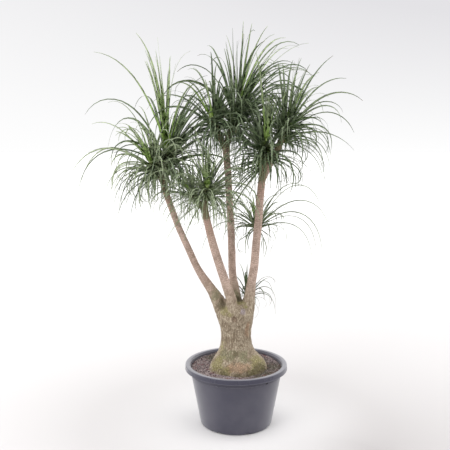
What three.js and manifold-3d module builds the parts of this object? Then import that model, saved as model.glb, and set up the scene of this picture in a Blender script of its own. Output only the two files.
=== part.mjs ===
// Potted ponytail palm: a tapered plastic container, the soil in it, one woody trunk
// that forks above its swollen base, and a head of long arching leaves on each shoot.
// Millimetres, +Z up. The origin is the centre of the container's underside, and the
// front of the plant faces -Y.

import * as THREE from 'three';
import { mergeVertices } from 'three/addons/utils/BufferGeometryUtils.js';
import ManifoldModule from 'manifold-3d';

const wasm = await ManifoldModule();
wasm.setup();

// ---------------------------------------------------------------- driving dimensions

const CLEARANCE = 0.3; // between the faces of neighbouring pieces

// Container
const POT_HEIGHT = 300;
const LIP_RADIUS = 250;
const LIP_DEPTH = 25;
const LIP_ROUNDING = 7;
const LIP_SLOPE = 1; // fall of the lip's underside towards its edge
const COLLAR_RADIUS = 228;
const COLLAR_BOTTOM = 252; // height of the step between the collar and the wall
const COLLAR_STEP = 3;
const WALL_TOP_RADIUS = 222;
const WALL_BOTTOM_RADIUS = 177;
const BASE_ROUNDING = 10;
const ARC_DIVISIONS = 1; // an arc gets twice as many straight steps
const WALL = 4;
const FLOOR = 5;
const POT_SIDES = 36;
const DRAIN_SLOTS = 8;
const DRAIN_TURN = -72.5; // direction of the first slot, in degrees
const DRAIN_WIDTH = 28;
const DRAIN_HEIGHT = 9;
const DRAIN_REACH = 40;
const OVERCUT = 1; // how far a cut passes the face it opens

// Soil
const SOIL_LEVEL = 275;
const SOIL_UNEVENNESS = 3;
const SOIL_RINGS = 3;
const ROOTING_DEPTH = 60; // how far the trunk stands in the soil
const SLOPE_ROOM = 1; // height kept over the sloping parts of the container's inside

// Swollen base of the trunk: its half-width at each height, and how far it leans along X
const CAUDEX_OUTLINE = [
  { z: SOIL_LEVEL - ROOTING_DEPTH, radius: 128, lean: 8 },
  { z: 245, radius: 138, lean: 8 },
  { z: SOIL_LEVEL, radius: 142, lean: 8 },
  { z: 292, radius: 139, lean: 9 },
  { z: 312, radius: 131, lean: 9 },
  { z: 335, radius: 112, lean: 7 },
  { z: 358, radius: 93, lean: 2 },
  { z: 388, radius: 80, lean: 0 },
  { z: 425, radius: 73, lean: 0 },
  { z: 475, radius: 76, lean: -1 },
  { z: 520, radius: 86, lean: -3 },
  { z: 556, radius: 91, lean: -6 },
  { z: 582, radius: 82, lean: -9 },
  { z: 602, radius: 60, lean: -8 },
  { z: 612, radius: 28, lean: -8 },
];
const CAUDEX_SIDES = 24;
const BUTTRESSES = 5; // low swellings round the foot
const BUTTRESS_TURN = 1;
const BUTTRESS_DEPTH = 0.035; // as a share of the half-width
const BUTTRESS_TOP = 430;

// Shoots: points [x, y, z, radius] up the middle of the wood, from inside its parent
const SHOOT_SIDES = 8;
const SHOOT_STEP = 72;
const SHOOTS = {
  left_top: [
    [-42, 0, 510, 44], [-79, 0, 596, 37], [-117, 3, 661, 26], [-184, 6, 764, 18],
    [-241, 8, 888, 16.5], [-276, 11, 966, 16], [-308, 14, 1052, 15.5], [-337, 17, 1138, 15.5],
    [-346, 19, 1190, 16.5], [-343, 22, 1232, 17],
  ],
  left_side: [
    [-342, 18, 1158, 11], [-352, 12, 1188, 14], [-362, 4, 1210, 14.5], [-374, -4, 1232, 14.5],
  ],
  front_top: [
    [-10, -22, 500, 42], [-21, -43, 590, 34], [-31, -54, 649, 26], [-56, -64, 726, 22],
    [-81, -73, 803, 20.5], [-114, -83, 915, 19.5], [-137, -92, 1011, 17.5],
    [-148, -104, 1066, 16.5], [-150, -111, 1095, 16.5], [-146, -117, 1120, 16.5],
  ],
  front_side: [
    [-146, -101, 1060, 11], [-158, -104, 1078, 13], [-172, -107, 1094, 13.5],
    [-185, -109, 1112, 13.5],
  ],
  centre_top: [
    [10, 25, 510, 40], [-1, 42, 600, 32], [-6, 53, 660, 23], [-17, 62, 728, 19.5],
    [-22, 70, 855, 18.5], [-26, 78, 981, 18], [-34, 87, 1106, 17.5], [-40, 95, 1230, 17.5],
    [-49, 103, 1341, 17.5], [-40, 108, 1395, 17.5], [-25, 113, 1438, 17.5],
  ],
  centre_side: [
    [-48, 103, 1330, 12], [-62, 90, 1365, 14.5], [-80, 74, 1402, 15], [-94, 60, 1436, 15],
  ],
  right_top: [
    [34, 4, 500, 44], [52, 10, 576, 36], [63, 5, 634, 27], [75, 1, 712, 22],
    [87, -4, 789, 20.5], [95, -13, 902, 19.5], [104, -17, 995, 19.5], [110, -22, 1088, 18.5],
    [117, -26, 1179, 18], [124, -31, 1250, 18], [129, -35, 1290, 18],
  ],
  right_side: [
    [115, -25, 1180, 13], [134, -18, 1225, 15], [160, -4, 1280, 15.5], [190, 10, 1338, 16],
    [214, 22, 1392, 16],
  ],
  back_low: [[96, -12, 905, 12], [103, 20, 915, 13], [106, 56, 930, 13], [104, 84, 950, 13.5]],
  sprout: [[35, 45, 575, 12], [46, 60, 592, 10], [53, 70, 606, 9.5]],
};

// Heads of leaves, one on each shoot: how much of the shoot's tip carries leaves, the
// length of a full leaf, and how many mature and young leaves there are
const HEADS = {
  left_top: { core: 115, leaf: 520, mature: 37, young: 5 },
  left_side: { core: 62, leaf: 410, mature: 22, young: 4 },
  front_top: { core: 70, leaf: 330, mature: 23, young: 5 },
  front_side: { core: 48, leaf: 270, mature: 13, young: 3 },
  centre_top: { core: 92, leaf: 440, mature: 34, young: 5 },
  centre_side: { core: 62, leaf: 390, mature: 21, young: 4 },
  right_top: { core: 88, leaf: 450, mature: 33, young: 5 },
  right_side: { core: 80, leaf: 420, mature: 27, young: 4 },
  back_low: { core: 48, leaf: 320, mature: 18, young: 3 },
  sprout: { core: 20, leaf: 190, mature: 9, young: 0 },
};
const CORE_SIDES = 7;
const CORE_BULGE = { height: 0.3, radius: 1.3 }; // of a leafy tip, against the shoot's radius
const CORE_TOP = 0.85;
const MATURE_ROOTS = { low: 0.22, high: 0.8, depth: 0.7 };
const HEART_HEIGHT = 28;
const HEART_RADIUS = 11;
const HEART_ENDS = { foot: 0.8, belt: 0.3, top: 0.6 };
const YOUNG_ROOTS = { low: 0.3, high: 0.75, depth: 0.4 };

// The leaves that reach furthest: heading and rise at the root in degrees, length, droop
const REACHING = {
  left_top: {
    young: [[200, 84, 537, 2.2], [220, 86, 494, 0.5], [-20, 87, 470, 3.6], [200, 70, 566, 1.8]],
    mature: [[40, 75, 478, 2], [0, 70, 367, 1.3], [190, 66, 525, 3], [140, 55, 587, 3.6]],
  },
  left_side: { young: [], mature: [[140, 27, 682, 2], [220, 35, 484, 2]] },
  centre_top: { young: [[-20, 88, 415, 0.5], [-40, 81, 400, 0.5]], mature: [] },
  right_side: { young: [], mature: [[-20, 52, 430, 2], [-40, 13, 395, 1.2], [10, 40, 420, 2.4]] },
  back_low: { young: [], mature: [[30, 56, 500, 3.7], [0, 48, 350, 4.6], [-20, 37, 290, 4.6]] },
};

// Leaves
const SEED = 7;
const GOLDEN_ANGLE = Math.PI * (3 - Math.sqrt(5));
const LEAF_WIDTH = 13;
const BLADE_DEPTH = 2.2; // from the edges to the keel under them
const BLADE_STATIONS = [0, 0.2, 0.4, 0.6, 0.8, 1];
const STATION_WIDTHS = [0.8, 1, 1, 0.9, 0.65, 0];
const STATION_DEPTHS = [1.1, 1.1, 1, 0.85, 0.7, 0];
const PATH_STEPS = 50;
const DROOP_POWER = 1.8;
// polar angle from the shoot, droop and length, from the lowest leaf to the highest
const MATURE = { polar: [1.75, 0.62], droop: [4.2, 2.3], length: [0.42, 1] };
const YOUNG = { polar: [0.42, 0.06], droop: [2, 1], length: [0.95, 0.72] };
const VARIETY = { turn: 0.5, polar: 0.2, droop: 0.9, length: 0.3 }; // full width of each draw
const BLADE_GAP = 1.5; // least space between blades that don't share a head
const TRIES = 40; // ways a leaf is bent before it is left out
const FREE_TRIES = 20; // after these, the blades of one node may cross
const ROOT_SEGMENTS = 2; // of a blade, where the blades of one node always may
const TURN_PER_TRY = 0.05;

// -------------------------------------------------------------------------- helpers

function seededRandom(seed) {
  let state = seed;
  return () => {
    state = (state + 0x6d2b79f5) >>> 0;
    let mixed = Math.imul(state ^ (state >>> 15), state | 1);
    mixed ^= mixed + Math.imul(mixed ^ (mixed >>> 7), mixed | 61);
    return ((mixed ^ (mixed >>> 14)) >>> 0) / 2 ** 32;
  };
}

const random = seededRandom(SEED);

function spread(range) {
  return (random() - 0.5) * range;
}

// A closed surface through rings of points, each counter-clockwise about the way the
// rings go, with flat ends. A ring whose points coincide makes a pointed end.
function loft(rings) {
  const sides = rings[0].length;
  const last = (rings.length - 1) * sides;
  const faces = [];
  for (let ring = 0; ring < last; ring += sides) {
    for (let side = 0; side < sides; side++) {
      const next = (side + 1) % sides;
      faces.push(ring + side, ring + next, ring + sides + next);
      faces.push(ring + side, ring + sides + next, ring + sides + side);
    }
  }
  for (let side = 1; side < sides - 1; side++) {
    faces.push(0, side + 1, side);
    faces.push(last, last + side, last + side + 1);
  }
  const geometry = new THREE.BufferGeometry();
  geometry.setFromPoints(rings.flat());
  geometry.setIndex(faces);
  return geometry;
}

function circle(centre, across, up, radius, sides) {
  return Array.from({ length: sides }, (_, side) => {
    const angle = (2 * Math.PI * side) / sides;
    return centre.clone()
      .addScaledVector(across, radius * Math.cos(angle))
      .addScaledVector(up, radius * Math.sin(angle));
  });
}

function toSolid(geometry) {
  geometry.deleteAttribute('normal');
  geometry.deleteAttribute('uv');
  const merged = mergeVertices(geometry);
  const corners = merged.getIndex().array;
  const triVerts = [];
  for (let i = 0; i < corners.length; i += 3) {
    const [a, b, c] = corners.slice(i, i + 3);
    if (a !== b && b !== c && c !== a) triVerts.push(a, b, c);
  }
  const vertProperties = new Float32Array(merged.getAttribute('position').array);
  return new wasm.Manifold(
    new wasm.Mesh({ numProp: 3, vertProperties, triVerts: Uint32Array.from(triVerts) }),
  );
}

// The joined solids as one body, without the scraps and sealed hollows of the joining
function join(solids) {
  const joined = solids.reduce((sum, piece) => sum.add(piece));
  return joined.decompose().reduce((most, body) => (body.volume() > most.volume() ? body : most));
}

function toGeometry(manifold) {
  const mesh = manifold.getMesh();
  const geometry = new THREE.BufferGeometry();
  geometry.setAttribute('position', new THREE.BufferAttribute(mesh.vertProperties, 3));
  geometry.setIndex(new THREE.BufferAttribute(mesh.triVerts, 1));
  geometry.computeVertexNormals();
  return geometry;
}

function named(name, geometry, material) {
  const mesh = new THREE.Mesh(geometry, material);
  mesh.name = name;
  return mesh;
}

// ------------------------------------------------------------------------ materials

const plastic = new THREE.MeshStandardMaterial({ color: 0x55545e, roughness: 0.45 });
const earth = new THREE.MeshStandardMaterial({ color: 0x6b5a58, roughness: 1 });
const bark = new THREE.MeshStandardMaterial({ color: 0xa08f80, roughness: 0.9 });
const matureLeaf = new THREE.MeshStandardMaterial({ color: 0x4a5c40, roughness: 0.5 });
const youngLeaf = new THREE.MeshStandardMaterial({ color: 0x76904f, roughness: 0.5 });

// ------------------------------------------------------------------------ container

function potOutline() {
  const outline = new THREE.Path();
  const baseEdge = WALL_BOTTOM_RADIUS - BASE_ROUNDING;
  const lipUnderside = POT_HEIGHT - LIP_DEPTH;
  const innerTop = COLLAR_RADIUS - WALL;
  const roundingHeight = POT_HEIGHT - LIP_ROUNDING;
  outline.moveTo(0, 0);
  outline.lineTo(baseEdge, 0);
  outline.absarc(baseEdge, BASE_ROUNDING, BASE_ROUNDING, -Math.PI / 2, 0);
  outline.lineTo(WALL_TOP_RADIUS, COLLAR_BOTTOM);
  outline.lineTo(COLLAR_RADIUS, COLLAR_BOTTOM + COLLAR_STEP);
  outline.lineTo(COLLAR_RADIUS, POT_HEIGHT - WALL);
  outline.lineTo(LIP_RADIUS - WALL, POT_HEIGHT - WALL - LIP_SLOPE);
  outline.lineTo(LIP_RADIUS - WALL, lipUnderside);
  outline.lineTo(LIP_RADIUS, lipUnderside);
  outline.absarc(LIP_RADIUS - LIP_ROUNDING, roundingHeight, LIP_ROUNDING, 0, Math.PI / 2);
  outline.absarc(innerTop + LIP_ROUNDING, roundingHeight, LIP_ROUNDING, Math.PI / 2, Math.PI);
  outline.lineTo(innerTop, COLLAR_BOTTOM + COLLAR_STEP);
  outline.lineTo(WALL_TOP_RADIUS - WALL, COLLAR_BOTTOM);
  outline.lineTo(WALL_BOTTOM_RADIUS - WALL, BASE_ROUNDING);
  outline.lineTo(baseEdge, FLOOR);
  outline.lineTo(0, FLOOR);
  return outline.getPoints(ARC_DIVISIONS);
}

function drainSlot(index) {
  const slot = new THREE.BoxGeometry(DRAIN_REACH, DRAIN_WIDTH, DRAIN_HEIGHT);
  slot.translate(WALL_BOTTOM_RADIUS, 0, DRAIN_HEIGHT / 2 - OVERCUT);
  slot.rotateZ(THREE.MathUtils.degToRad(DRAIN_TURN + (360 * index) / DRAIN_SLOTS));
  return toSolid(slot);
}

function pot() {
  const body = new THREE.LatheGeometry(potOutline(), POT_SIDES);
  body.rotateX(Math.PI / 2);
  let solid = toSolid(body);
  for (let index = 0; index < DRAIN_SLOTS; index++) {
    solid = solid.subtract(drainSlot(index));
  }
  return toGeometry(solid);
}

// ----------------------------------------------------------------------------- wood

// One level of the trunk's swollen base, grown outwards by the given amount
function caudexRing({ z, radius, lean }, growth = 0) {
  return Array.from({ length: CAUDEX_SIDES }, (_, side) => {
    const angle = (2 * Math.PI * side) / CAUDEX_SIDES;
    const foot = THREE.MathUtils.smoothstep(BUTTRESS_TOP - z, 0, BUTTRESS_TOP - SOIL_LEVEL);
    const swelling = foot * BUTTRESS_DEPTH * Math.cos(BUTTRESSES * angle + BUTTRESS_TURN);
    const reach = radius * (1 + swelling) + growth;
    return new THREE.Vector3(lean + reach * Math.cos(angle), reach * Math.sin(angle), z);
  });
}

function shootCurve(points) {
  return new THREE.CatmullRomCurve3(points.map(([x, y, z]) => new THREE.Vector3(x, y, z)));
}

// The sections of a shoot: where each is, which way it faces and how thick the wood is
function shootSections(points) {
  const curve = shootCurve(points);
  const radii = new THREE.SplineCurve(
    points.map(([, , , radius], index) => new THREE.Vector2(index, radius)),
  );
  const count = Math.max(2, Math.round(curve.getLength() / SHOOT_STEP));
  const frames = curve.computeFrenetFrames(count);
  return Array.from({ length: count + 1 }, (_, index) => ({
    centre: curve.getPointAt(index / count),
    across: frames.normals[index],
    up: frames.binormals[index],
    radius: radii.getPoint(curve.getUtoTmapping(index / count)).y,
  }));
}

function trunk() {
  const caudex = toSolid(loft(CAUDEX_OUTLINE.map((level) => caudexRing(level))));
  const shoots = Object.values(SHOOTS).map((points) => {
    const rings = shootSections(points).map(({ centre, across, up, radius }) => (
      circle(centre, across, up, radius, SHOOT_SIDES)
    ));
    return toSolid(loft(rings));
  });
  return toGeometry(join([caudex, ...shoots]));
}

// ----------------------------------------------------------------------------- soil

function plainRing(radius, z, unevenness = 0) {
  return Array.from({ length: CAUDEX_SIDES }, (_, side) => {
    const angle = (2 * Math.PI * side) / CAUDEX_SIDES;
    const height = z + spread(unevenness * 2);
    return new THREE.Vector3(radius * Math.cos(angle), radius * Math.sin(angle), height);
  });
}

// Fills the container round a plain hole for the trunk. Its flat-sided outline has to
// stay inside the container's, which is why it is drawn in by the container's sagitta.
function soil() {
  const drawnIn = LIP_RADIUS * (1 - Math.cos(Math.PI / POT_SIDES)) + CLEARANCE;
  const foot = CAUDEX_OUTLINE.filter(({ z }) => z <= SOIL_LEVEL);
  const hole = foot.map((level) => caudexRing(level, CLEARANCE));
  hole[0].forEach((point) => point.setZ(point.z - CLEARANCE));
  const edge = COLLAR_RADIUS - WALL - drawnIn;
  const surface = [];
  for (let ring = 1; ring <= SOIL_RINGS; ring++) {
    const radius = THREE.MathUtils.lerp(foot.at(-1).radius, edge, ring / SOIL_RINGS);
    surface.push(plainRing(radius, SOIL_LEVEL, SOIL_UNEVENNESS));
  }
  const underside = [
    plainRing(edge, COLLAR_BOTTOM + COLLAR_STEP + SLOPE_ROOM),
    plainRing(WALL_TOP_RADIUS - WALL - drawnIn, COLLAR_BOTTOM),
    plainRing(WALL_BOTTOM_RADIUS - WALL - drawnIn, BASE_ROUNDING + SLOPE_ROOM),
    plainRing(WALL_BOTTOM_RADIUS - BASE_ROUNDING - drawnIn, FLOOR + CLEARANCE),
  ];
  const rings = [...hole, ...surface, ...underside];
  return toGeometry(toSolid(loft(rings.map((ring) => ring.reverse()))));
}

// --------------------------------------------------------------------------- leaves

// Follows a leaf from its root. Its own weight turns it down further and further along.
function leafPath({ root, heading, rise, length, droop }) {
  const stiffness = Math.asinh(Math.tan(rise));
  const side = new THREE.Vector3(-Math.sin(heading), Math.cos(heading), 0);
  const point = root.clone();
  const stations = [];
  for (let step = 0; step <= PATH_STEPS; step++) {
    const share = step / PATH_STEPS;
    const slope = Math.atan(Math.sinh(stiffness - droop * share ** DROOP_POWER));
    const along = new THREE.Vector3(
      Math.cos(slope) * Math.cos(heading),
      Math.cos(slope) * Math.sin(heading),
      Math.sin(slope),
    );
    if (BLADE_STATIONS.includes(share)) {
      stations.push({ point: point.clone(), side, above: along.clone().cross(side) });
    }
    point.addScaledVector(along, length / PATH_STEPS);
  }
  return stations;
}

// A blade with three faces: one on top, and two that meet in the keel under it
function bladeSolid(stations, width) {
  const rings = stations.map(({ point, side, above }, index) => {
    const half = (width * STATION_WIDTHS[index]) / 2;
    const depth = BLADE_DEPTH * STATION_DEPTHS[index];
    return [
      point.clone().addScaledVector(side, half).addScaledVector(above, depth / 2),
      point.clone().addScaledVector(side, -half).addScaledVector(above, depth / 2),
      point.clone().addScaledVector(above, -depth / 2),
    ];
  });
  return toSolid(loft(rings));
}

function bladeSegments(stations, leaf) {
  return stations.slice(1).map(({ point }, index) => ({
    line: new THREE.Line3(stations[index].point, point),
    reach: (leaf.width * STATION_WIDTHS[index]) / 2,
    node: leaf.node,
    head: leaf.head,
    index,
  }));
}

const obstacles = [];

function addObstacle(start, end, reach, node, head) {
  obstacles.push({ line: new THREE.Line3(start, end), reach, node, head, index: 0 });
}

// Blades of one node may meet, because they are fused; the rest keep apart, except for
// the roots of a head, which stand side by side on the same tip.
function mayMeet(segment, other, crowded) {
  if (segment.node === other.node) {
    return crowded || Math.min(segment.index, other.index) < ROOT_SEGMENTS;
  }
  return segment.head === other.head && segment.index === 0 && other.index === 0;
}

function isClear(segments, crowded) {
  const between = new THREE.Vector3();
  return segments.every((segment) => {
    const middle = segment.line.getCenter(new THREE.Vector3());
    const half = segment.line.distance() / 2;
    return obstacles.every((other) => {
      const room = segment.reach + other.reach + BLADE_GAP;
      other.line.getCenter(between);
      if (between.distanceTo(middle) > half + other.line.distance() / 2 + room) return true;
      if (mayMeet(segment, other, crowded)) return true;
      return segment.line.distanceSqToLine3(other.line) > room * room;
    });
  });
}

// Bends a leaf sideways, a little further each time, until it passes clear of the rest
function growLeaf(leaf) {
  for (let attempt = 0; attempt < TRIES; attempt++) {
    const turn = TURN_PER_TRY * Math.ceil(attempt / 2) * (attempt % 2 ? 1 : -1);
    const bent = { ...leaf, heading: leaf.heading + turn };
    const stations = leafPath(bent);
    const segments = bladeSegments(stations, leaf);
    if (isClear(segments, attempt > FREE_TRIES)) {
      obstacles.push(...segments);
      return bladeSolid(stations, leaf.width);
    }
  }
  return null;
}

// ---------------------------------------------------------------------------- heads

function tipOf(name) {
  const sections = shootSections(SHOOTS[name]);
  const { centre, across, up, radius } = sections.at(-1);
  return { base: centre, across, up, axis: across.clone().cross(up), radius };
}

function alongTip(tip, height) {
  return tip.base.clone().addScaledVector(tip.axis, height);
}

// A stout tip that carries leaves, from points [height, radius] up its side
function coreSolid(tip, start, outline) {
  const points = outline.map(([height, radius]) => new THREE.Vector2(radius, height));
  const first = new THREE.Vector2(0, points[0].y);
  const last = new THREE.Vector2(0, points.at(-1).y);
  const core = new THREE.LatheGeometry([first, ...points, last], CORE_SIDES);
  const upright = new THREE.Vector3(0, 1, 0);
  const base = alongTip(tip, start);
  core.applyQuaternion(new THREE.Quaternion().setFromUnitVectors(upright, tip.axis));
  core.translate(base.x, base.y, base.z);
  return toSolid(core);
}

// A leaf's place on its tip: where it starts, and which way it leaves the wood
function rooted(tip, height, turn, polar, offset) {
  const outward = tip.across.clone().multiplyScalar(Math.cos(turn))
    .addScaledVector(tip.up, Math.sin(turn));
  const root = alongTip(tip, height).addScaledVector(outward, offset);
  const along = outward.multiplyScalar(Math.sin(polar)).addScaledVector(tip.axis, Math.cos(polar));
  return { root, heading: Math.atan2(along.y, along.x), rise: Math.asin(along.z) };
}

function leavesInSpiral(tip, zone, habit, count, fullLength) {
  return Array.from({ length: count }, (_, index) => {
    const age = (index + 0.5) / count;
    const turn = index * GOLDEN_ANGLE + spread(VARIETY.turn);
    const polar = THREE.MathUtils.lerp(...habit.polar, age) + spread(VARIETY.polar);
    const height = zone.start + zone.height * THREE.MathUtils.lerp(zone.low, zone.high, age);
    return {
      ...rooted(tip, height, turn, Math.abs(polar), zone.radius * zone.depth),
      length: fullLength * (THREE.MathUtils.lerp(...habit.length, age) + spread(VARIETY.length)),
      droop: THREE.MathUtils.lerp(...habit.droop, age) + spread(VARIETY.droop),
    };
  });
}

// Leaves whose heading and rise are known; the steeper they rise, the higher their roots
function leavesThatReach(tip, zone, leaves) {
  return leaves.map(([heading, rise, length, droop]) => {
    const turned = THREE.MathUtils.degToRad(heading);
    const outward = new THREE.Vector3(Math.cos(turned), Math.sin(turned), 0);
    outward.projectOnPlane(tip.axis).normalize();
    const share = THREE.MathUtils.lerp(zone.low, zone.high, rise / 90);
    const root = alongTip(tip, zone.start + zone.height * share)
      .addScaledVector(outward, zone.radius * zone.depth);
    return { root, heading: turned, rise: THREE.MathUtils.degToRad(rise), length, droop };
  });
}

function grow(plan, leaves) {
  for (const leaf of leaves) {
    const blade = growLeaf({ ...leaf, width: LEAF_WIDTH, node: plan.node, head: plan.head });
    if (blade) plan.solids.push(blade);
  }
}

function planHeads() {
  return Object.entries(HEADS).map(([name, size]) => {
    const tip = tipOf(name);
    const bulge = tip.radius * CORE_BULGE.radius;
    const crownOutline = [
      [0, tip.radius],
      [size.core * CORE_BULGE.height, bulge],
      [size.core, tip.radius * CORE_TOP],
    ];
    const heartStart = size.core + 2 * CLEARANCE;
    const heartOutline = [
      [0, HEART_RADIUS * HEART_ENDS.foot],
      [HEART_HEIGHT * HEART_ENDS.belt, HEART_RADIUS],
      [HEART_HEIGHT, HEART_RADIUS * HEART_ENDS.top],
    ];
    const crown = { node: `crown_${name}`, head: name, solids: [] };
    const heart = { node: `heart_${name}`, head: name, solids: [] };
    crown.solids.push(coreSolid(tip, CLEARANCE, crownOutline));
    addObstacle(alongTip(tip, 0), alongTip(tip, size.core), bulge, crown.node, name);
    if (size.young) {
      heart.solids.push(coreSolid(tip, heartStart, heartOutline));
      const heartEnd = alongTip(tip, heartStart + HEART_HEIGHT);
      addObstacle(alongTip(tip, size.core), heartEnd, HEART_RADIUS, heart.node, name);
    }
    const matureZone = { ...MATURE_ROOTS, start: 0, height: size.core, radius: tip.radius };
    const youngZone = {
      ...YOUNG_ROOTS, start: heartStart, height: HEART_HEIGHT, radius: HEART_RADIUS,
    };
    return { name, size, tip, crown, heart, matureZone, youngZone };
  });
}

// The wood that leaves have to pass clear of
function addWoodObstacles() {
  for (const [name, points] of Object.entries(SHOOTS)) {
    const sections = shootSections(points);
    for (let index = 1; index < sections.length; index++) {
      const { centre, radius } = sections[index - 1];
      addObstacle(centre, sections[index].centre, radius, 'trunk', name);
    }
  }
  for (let index = 1; index < CAUDEX_OUTLINE.length; index++) {
    const [lower, upper] = CAUDEX_OUTLINE.slice(index - 1, index + 1);
    const start = new THREE.Vector3(lower.lean, 0, lower.z);
    const end = new THREE.Vector3(upper.lean, 0, upper.z);
    addObstacle(start, end, Math.min(lower.radius, upper.radius), 'trunk', 'sprout');
  }
}

function leafHeads() {
  addWoodObstacles();
  const heads = planHeads();
  for (const { name, tip, crown, heart, matureZone, youngZone } of heads) {
    const reaching = REACHING[name] ?? { young: [], mature: [] };
    grow(heart, leavesThatReach(tip, youngZone, reaching.young));
    grow(crown, leavesThatReach(tip, matureZone, reaching.mature));
  }
  for (const { size, tip, heart, youngZone } of heads) {
    grow(heart, leavesInSpiral(tip, youngZone, YOUNG, size.young, size.leaf));
  }
  for (const { size, tip, crown, matureZone } of heads) {
    grow(crown, leavesInSpiral(tip, matureZone, MATURE, size.mature, size.leaf));
  }
  return heads.flatMap(({ crown, heart }) => {
    const meshes = [named(crown.node, toGeometry(join(crown.solids)), matureLeaf)];
    if (heart.solids.length) {
      meshes.push(named(heart.node, toGeometry(join(heart.solids)), youngLeaf));
    }
    return meshes;
  });
}

// --------------------------------------------------------------------------- object

const container = new THREE.Group();
container.add(named('pot', pot(), plastic), named('soil', soil(), earth));

const plant = new THREE.Group();
plant.add(named('trunk', trunk(), bark), ...leafHeads());

const pottedPalm = new THREE.Group();
pottedPalm.add(container, plant);

export default pottedPalm;
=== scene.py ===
"""Dresses a potted ponytail palm: a nursery container, potting mix, a woody trunk and ten heads of leaves.

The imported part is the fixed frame. Finer pieces take the places of its nodes, in the same frame, and a
studio with a pale floor, soft light and a camera stands round them. Lengths in the tables are real sizes
in millimetres, as a grower would measure them, and every mesh is in metres.
"""

import logging
import math
import random
from dataclasses import dataclass, replace
from enum import Enum

import bmesh
import bpy
import numpy as np
from mathutils import Euler, Matrix, Vector, geometry, kdtree, noise


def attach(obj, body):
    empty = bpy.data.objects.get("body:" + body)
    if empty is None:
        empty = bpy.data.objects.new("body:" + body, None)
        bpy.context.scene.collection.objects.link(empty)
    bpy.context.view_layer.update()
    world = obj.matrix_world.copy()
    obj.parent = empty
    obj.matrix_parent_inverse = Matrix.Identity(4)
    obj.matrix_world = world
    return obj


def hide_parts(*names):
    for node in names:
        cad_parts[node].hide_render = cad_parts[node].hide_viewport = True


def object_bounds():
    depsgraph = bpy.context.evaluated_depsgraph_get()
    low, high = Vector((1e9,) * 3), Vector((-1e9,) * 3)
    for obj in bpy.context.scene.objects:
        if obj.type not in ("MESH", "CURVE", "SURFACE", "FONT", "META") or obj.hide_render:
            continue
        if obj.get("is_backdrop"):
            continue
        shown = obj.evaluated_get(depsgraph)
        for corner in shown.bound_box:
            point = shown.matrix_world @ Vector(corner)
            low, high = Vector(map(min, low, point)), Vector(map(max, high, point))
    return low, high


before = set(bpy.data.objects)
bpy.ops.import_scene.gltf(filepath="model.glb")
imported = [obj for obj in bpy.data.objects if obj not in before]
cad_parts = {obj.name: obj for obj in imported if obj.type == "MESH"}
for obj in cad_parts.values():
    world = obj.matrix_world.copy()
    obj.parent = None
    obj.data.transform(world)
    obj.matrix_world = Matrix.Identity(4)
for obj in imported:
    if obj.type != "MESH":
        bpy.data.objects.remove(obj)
CAD_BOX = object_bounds()

LOG = logging.getLogger("ponytail_palm")
MM = 0.001
SEED = 7
BODY = "root"
GOLDEN_ANGLE = math.pi * (3 - math.sqrt(5))
UP = Vector((0, 0, 1))
ALL_WAYS = {"use_axis_x": True, "use_axis_y": True, "use_axis_z": True}
COLOUR_MIX = {"kind": "Mix", "data_type": "RGBA", "out": 2}  # the node that mixes colours, and its result

Tree = bpy.types.NodeTree
Socket = bpy.types.NodeSocket
Pair = tuple[float, float]
Place = tuple[float, float, float]
Ramp = tuple[float, float, float, float]  # the lowest and highest reading, and what each is turned to
Rows = tuple[tuple[float, ...], ...]
Tones = tuple[str, str]  # a darker and a lighter hex colour


# ---------------------------------------------------------------------------------------- helpers


def linear(hex_code: str) -> tuple[float, ...]:
    """Turns an sRGB hex colour to the linear colour that shaders take.

    Args:
        hex_code: six hex digits after a hash sign.

    Returns:
        Linear red, green and blue, and an alpha of 1.
    """
    channels = [int(hex_code[i : i + 2], 16) / 255 for i in (1, 3, 5)]
    return (*(c / 12.92 if c <= 0.04045 else ((c + 0.055) / 1.055) ** 2.4 for c in channels), 1.0)


def mix(start: float, end: float, share: float) -> float:
    """Returns the value that lies the given share of the way from start to end."""
    return start + (end - start) * share


def smooth_step(low: float, high: float, value: float) -> float:
    """Eases from 0 where value is at low to 1 where it is at high, and returns that share."""
    share = min(1.0, max(0.0, (value - low) / (high - low)))
    return share * share * (3 - 2 * share)


def per_metre(size_mm: float) -> float:
    """Returns how often a pattern of this size in millimetres repeats in a metre."""
    return 1 / (size_mm * MM)


def add_node(
    tree: Tree, kind: str, *values: object, out: int | str = 0, named: dict | None = None, **settings: object
) -> Socket | None:
    """Adds a node to a shader with its settings, values and links.

    Args:
        tree: the shader's node tree.
        kind: the node's type without its prefix, such as Math.
        *values: what its inputs take in their order, a value or the output that feeds each.
        out: the output that is wanted, by number or name.
        named: what further inputs take, by name or number.
        **settings: the node's own properties.

    Returns:
        The output, or nothing if the node has none.
    """
    node = tree.nodes.new(f"ShaderNode{kind}")
    for name, value in settings.items():
        setattr(node, name, value)
    for name, value in [*enumerate(values), *(named or {}).items()]:
        if isinstance(value, Socket):
            tree.links.new(value, node.inputs[name])
        else:
            node.inputs[name].default_value = value
    return node.outputs[out] if node.outputs else None


def add_piece(
    name: str, mesh: bpy.types.Mesh, finishes: list[bpy.types.Material], slot: str = "", node: str = ""
) -> bpy.types.Object:
    """Places a finished mesh in the scene, and on the part's body unless it belongs to the studio.

    Args:
        name: the piece's name.
        mesh: its mesh, in metres in the part's frame.
        finishes: its materials, in the order that its faces name them.
        slot: the material slot that they stand for, if it is part of the object.
        node: the CAD node that it stands for, if there is one.

    Returns:
        The new object, at the origin.
    """
    mesh.name = name
    for finish in finishes:
        mesh.materials.append(finish)
    piece = bpy.data.objects.new(name, mesh)
    bpy.context.scene.collection.objects.link(piece)
    if slot:
        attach(piece, BODY)
    if node:
        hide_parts(node)
    LOG.info("%s: %d faces", name, len(mesh.polygons))
    return piece


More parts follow.
